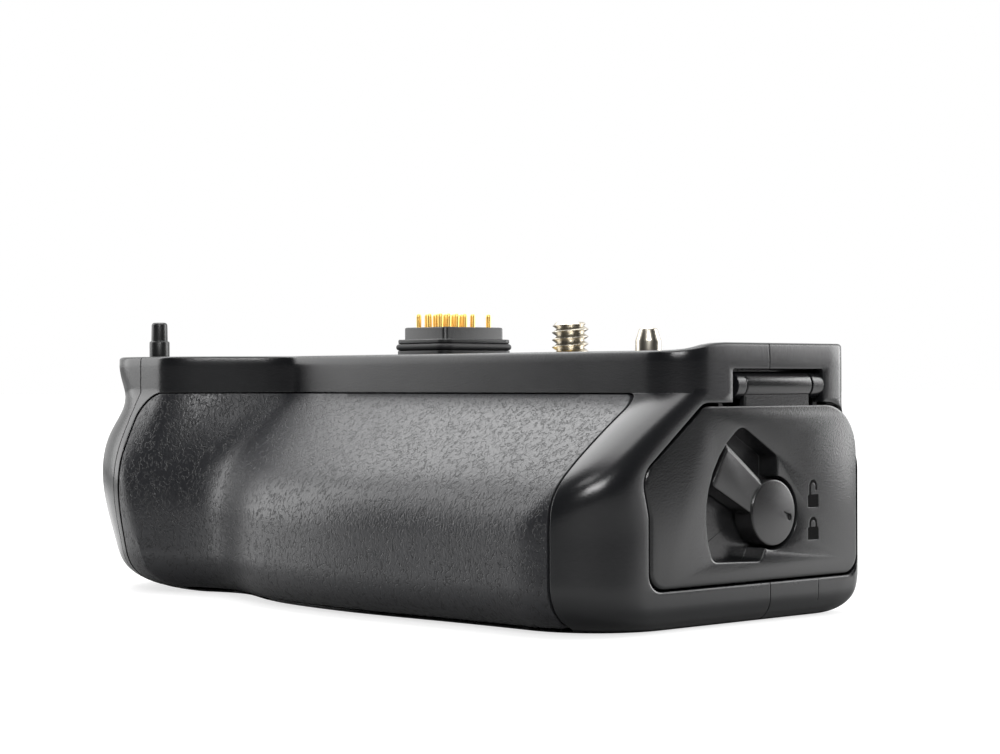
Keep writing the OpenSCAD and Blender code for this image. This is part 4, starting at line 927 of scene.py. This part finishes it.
def make_floor():
    """Flat floor just under the grip, wide enough to meet the horizon: a grid of even squares."""
    n, half, under = 9, 6000.0, -0.02
    u = np.linspace(-half, half, n)
    x, y = np.meshgrid(u, u, indexing="ij")
    points = np.stack([x, y, np.full_like(x, under)], -1).reshape(-1, 3)
    k, i = np.meshgrid(np.arange(n - 1), np.arange(n - 1), indexing="ij")
    a = (k * n + i).ravel()
    mesh = bpy.data.meshes.new("floor")
    mesh.from_pydata((points * MM).tolist(), [], np.stack([a, a + n, a + n + 1, a + 1], -1).tolist())
    floor = bpy.data.objects.new("floor", mesh)
    bpy.context.scene.collection.objects.link(floor)
    mesh.materials.append(make_paper())


def make_paper():
    """Pale paper: grey by the grip, so that its shadow shows, and white further out, by the distance from a
    rectangle under the grip; in reflections it glows only in a band behind and beside the grip, a painted
    reflection of lit floor that is held dark right by the grip as a painted contact shadow."""
    made, tree, shader, where = blank("pale_floor")
    shader.inputs["Base Color"].default_value = (0.32, 0.32, 0.32, 1.0)
    shader.inputs["Roughness"].default_value = 0.7
    local = vector(tree, "ADD", where, (0.025, 0.01, 0.0))
    past = vector(tree, "SUBTRACT", vector(tree, "ABSOLUTE", local), (0.066, 0.032, 1.0))
    away = vector(tree, "LENGTH", vector(tree, "MAXIMUM", past))
    toward = vector(tree, "DOT_PRODUCT", where, tuple(-AHEAD))
    seen = ramp(tree, away, 0.02, 0.25, 0.72, 1.0)
    # Painted reflection: the floor glows for glossy rays only in a band round the grip. The band is held dark
    # right by the grip as a painted contact shadow and fades out further away and on the camera side.
    painted_reflection_band = calc(tree, "MULTIPLY", ramp(tree, away, 0.0, 0.05), ramp(tree, away, 0.16, 0.3, 1.0, 0.0))
    painted_reflection_band = calc(tree, "MULTIPLY", painted_reflection_band, ramp(tree, toward, 0.045, 0.1, 1.0, 0.0))
    path = add(tree, "ShaderNodeLightPath").outputs
    level = calc(tree, "MAXIMUM", calc(tree, "MULTIPLY", path["Is Camera Ray"], seen),
                 calc(tree, "MULTIPLY", path["Is Glossy Ray"], painted_reflection_band))
    glow = add(tree, "ShaderNodeEmission", {"Color": (1, 1, 1, 1), "Strength": level})
    both = add(tree, "ShaderNodeAddShader", {0: shader.outputs[0], 1: glow.outputs[0]})
    tree.links.new(both.outputs[0], tree.nodes["Material Output"].inputs["Surface"])
    return made


def make_world():
    """Room with a white half behind the grip and a dark half round the camera, parted softly by the dot of
    the ray's direction and the way the camera looks; the camera itself sees white all round."""
    world = bpy.data.worlds.new("studio")
    bpy.context.scene.world = world
    world.use_nodes = True
    tree = world.node_tree
    way = add(tree, "ShaderNodeTexCoord").outputs["Generated"]
    room = ramp(tree, vector(tree, "DOT_PRODUCT", way, tuple(AHEAD)), 0.07, 0.2, 0.012, 1.0)
    path = add(tree, "ShaderNodeLightPath").outputs
    seen = calc(tree, "MAXIMUM", path["Is Camera Ray"], path["Is Transmission Ray"])
    tree.nodes["Background"].inputs["Color"].default_value = (1, 1, 1, 1)
    tree.links.new(calc(tree, "MAXIMUM", seen, room), tree.nodes["Background"].inputs["Strength"])


def stand(name, data, right, up, back, place):
    """Lamp or camera object at a place in metres, with its three own directions."""
    made = bpy.data.objects.new(name, data)
    bpy.context.scene.collection.objects.link(made)
    made.matrix_world = Matrix([[right[i], up[i], back[i], place[i]] for i in range(3)] + [[0, 0, 0, 1]])
    return made


def softbox(name, place, aim, size, watts):
    """Rectangular soft light at a place in metres, turned to face a point."""
    data = bpy.data.lights.new(name, "AREA")
    data.shape, data.size, data.size_y, data.energy = "RECTANGLE", size[0], size[1], watts
    back = np.asarray(place, float) - np.asarray(aim, float)
    back /= np.linalg.norm(back)
    side = np.cross((0.0, 1.0, 0.0) if abs(back[2]) > 0.95 else (0.0, 0.0, 1.0), back)
    side /= np.linalg.norm(side)
    stand(name, data, side, np.cross(back, side), back, place)


def make_camera():
    """Camera at the photograph's place, level to a fraction of a degree, for a frame of 1000 by 754."""
    data = bpy.data.cameras.new("camera")
    data.sensor_fit, data.sensor_width, data.lens = "HORIZONTAL", 36.0, VIEW_LENS
    data.clip_start, data.clip_end = 0.01, 50.0
    up = np.array([0.0, 0.0, 1.0]) + VIEW_ROLL * RIGHT - VIEW_TIP * AHEAD
    up /= np.linalg.norm(up)
    right = RIGHT - up * (RIGHT @ up)
    right /= np.linalg.norm(right)
    place = np.array(VIEW_PLACE) * MM
    bpy.context.scene.camera = stand("camera", data, right, up, np.cross(right, up), place)


make_floor()
make_world()
for name, setting in LIGHTS.items():
    softbox(name, *setting)
make_camera()
bpy.context.scene.view_settings.view_transform = "Standard"
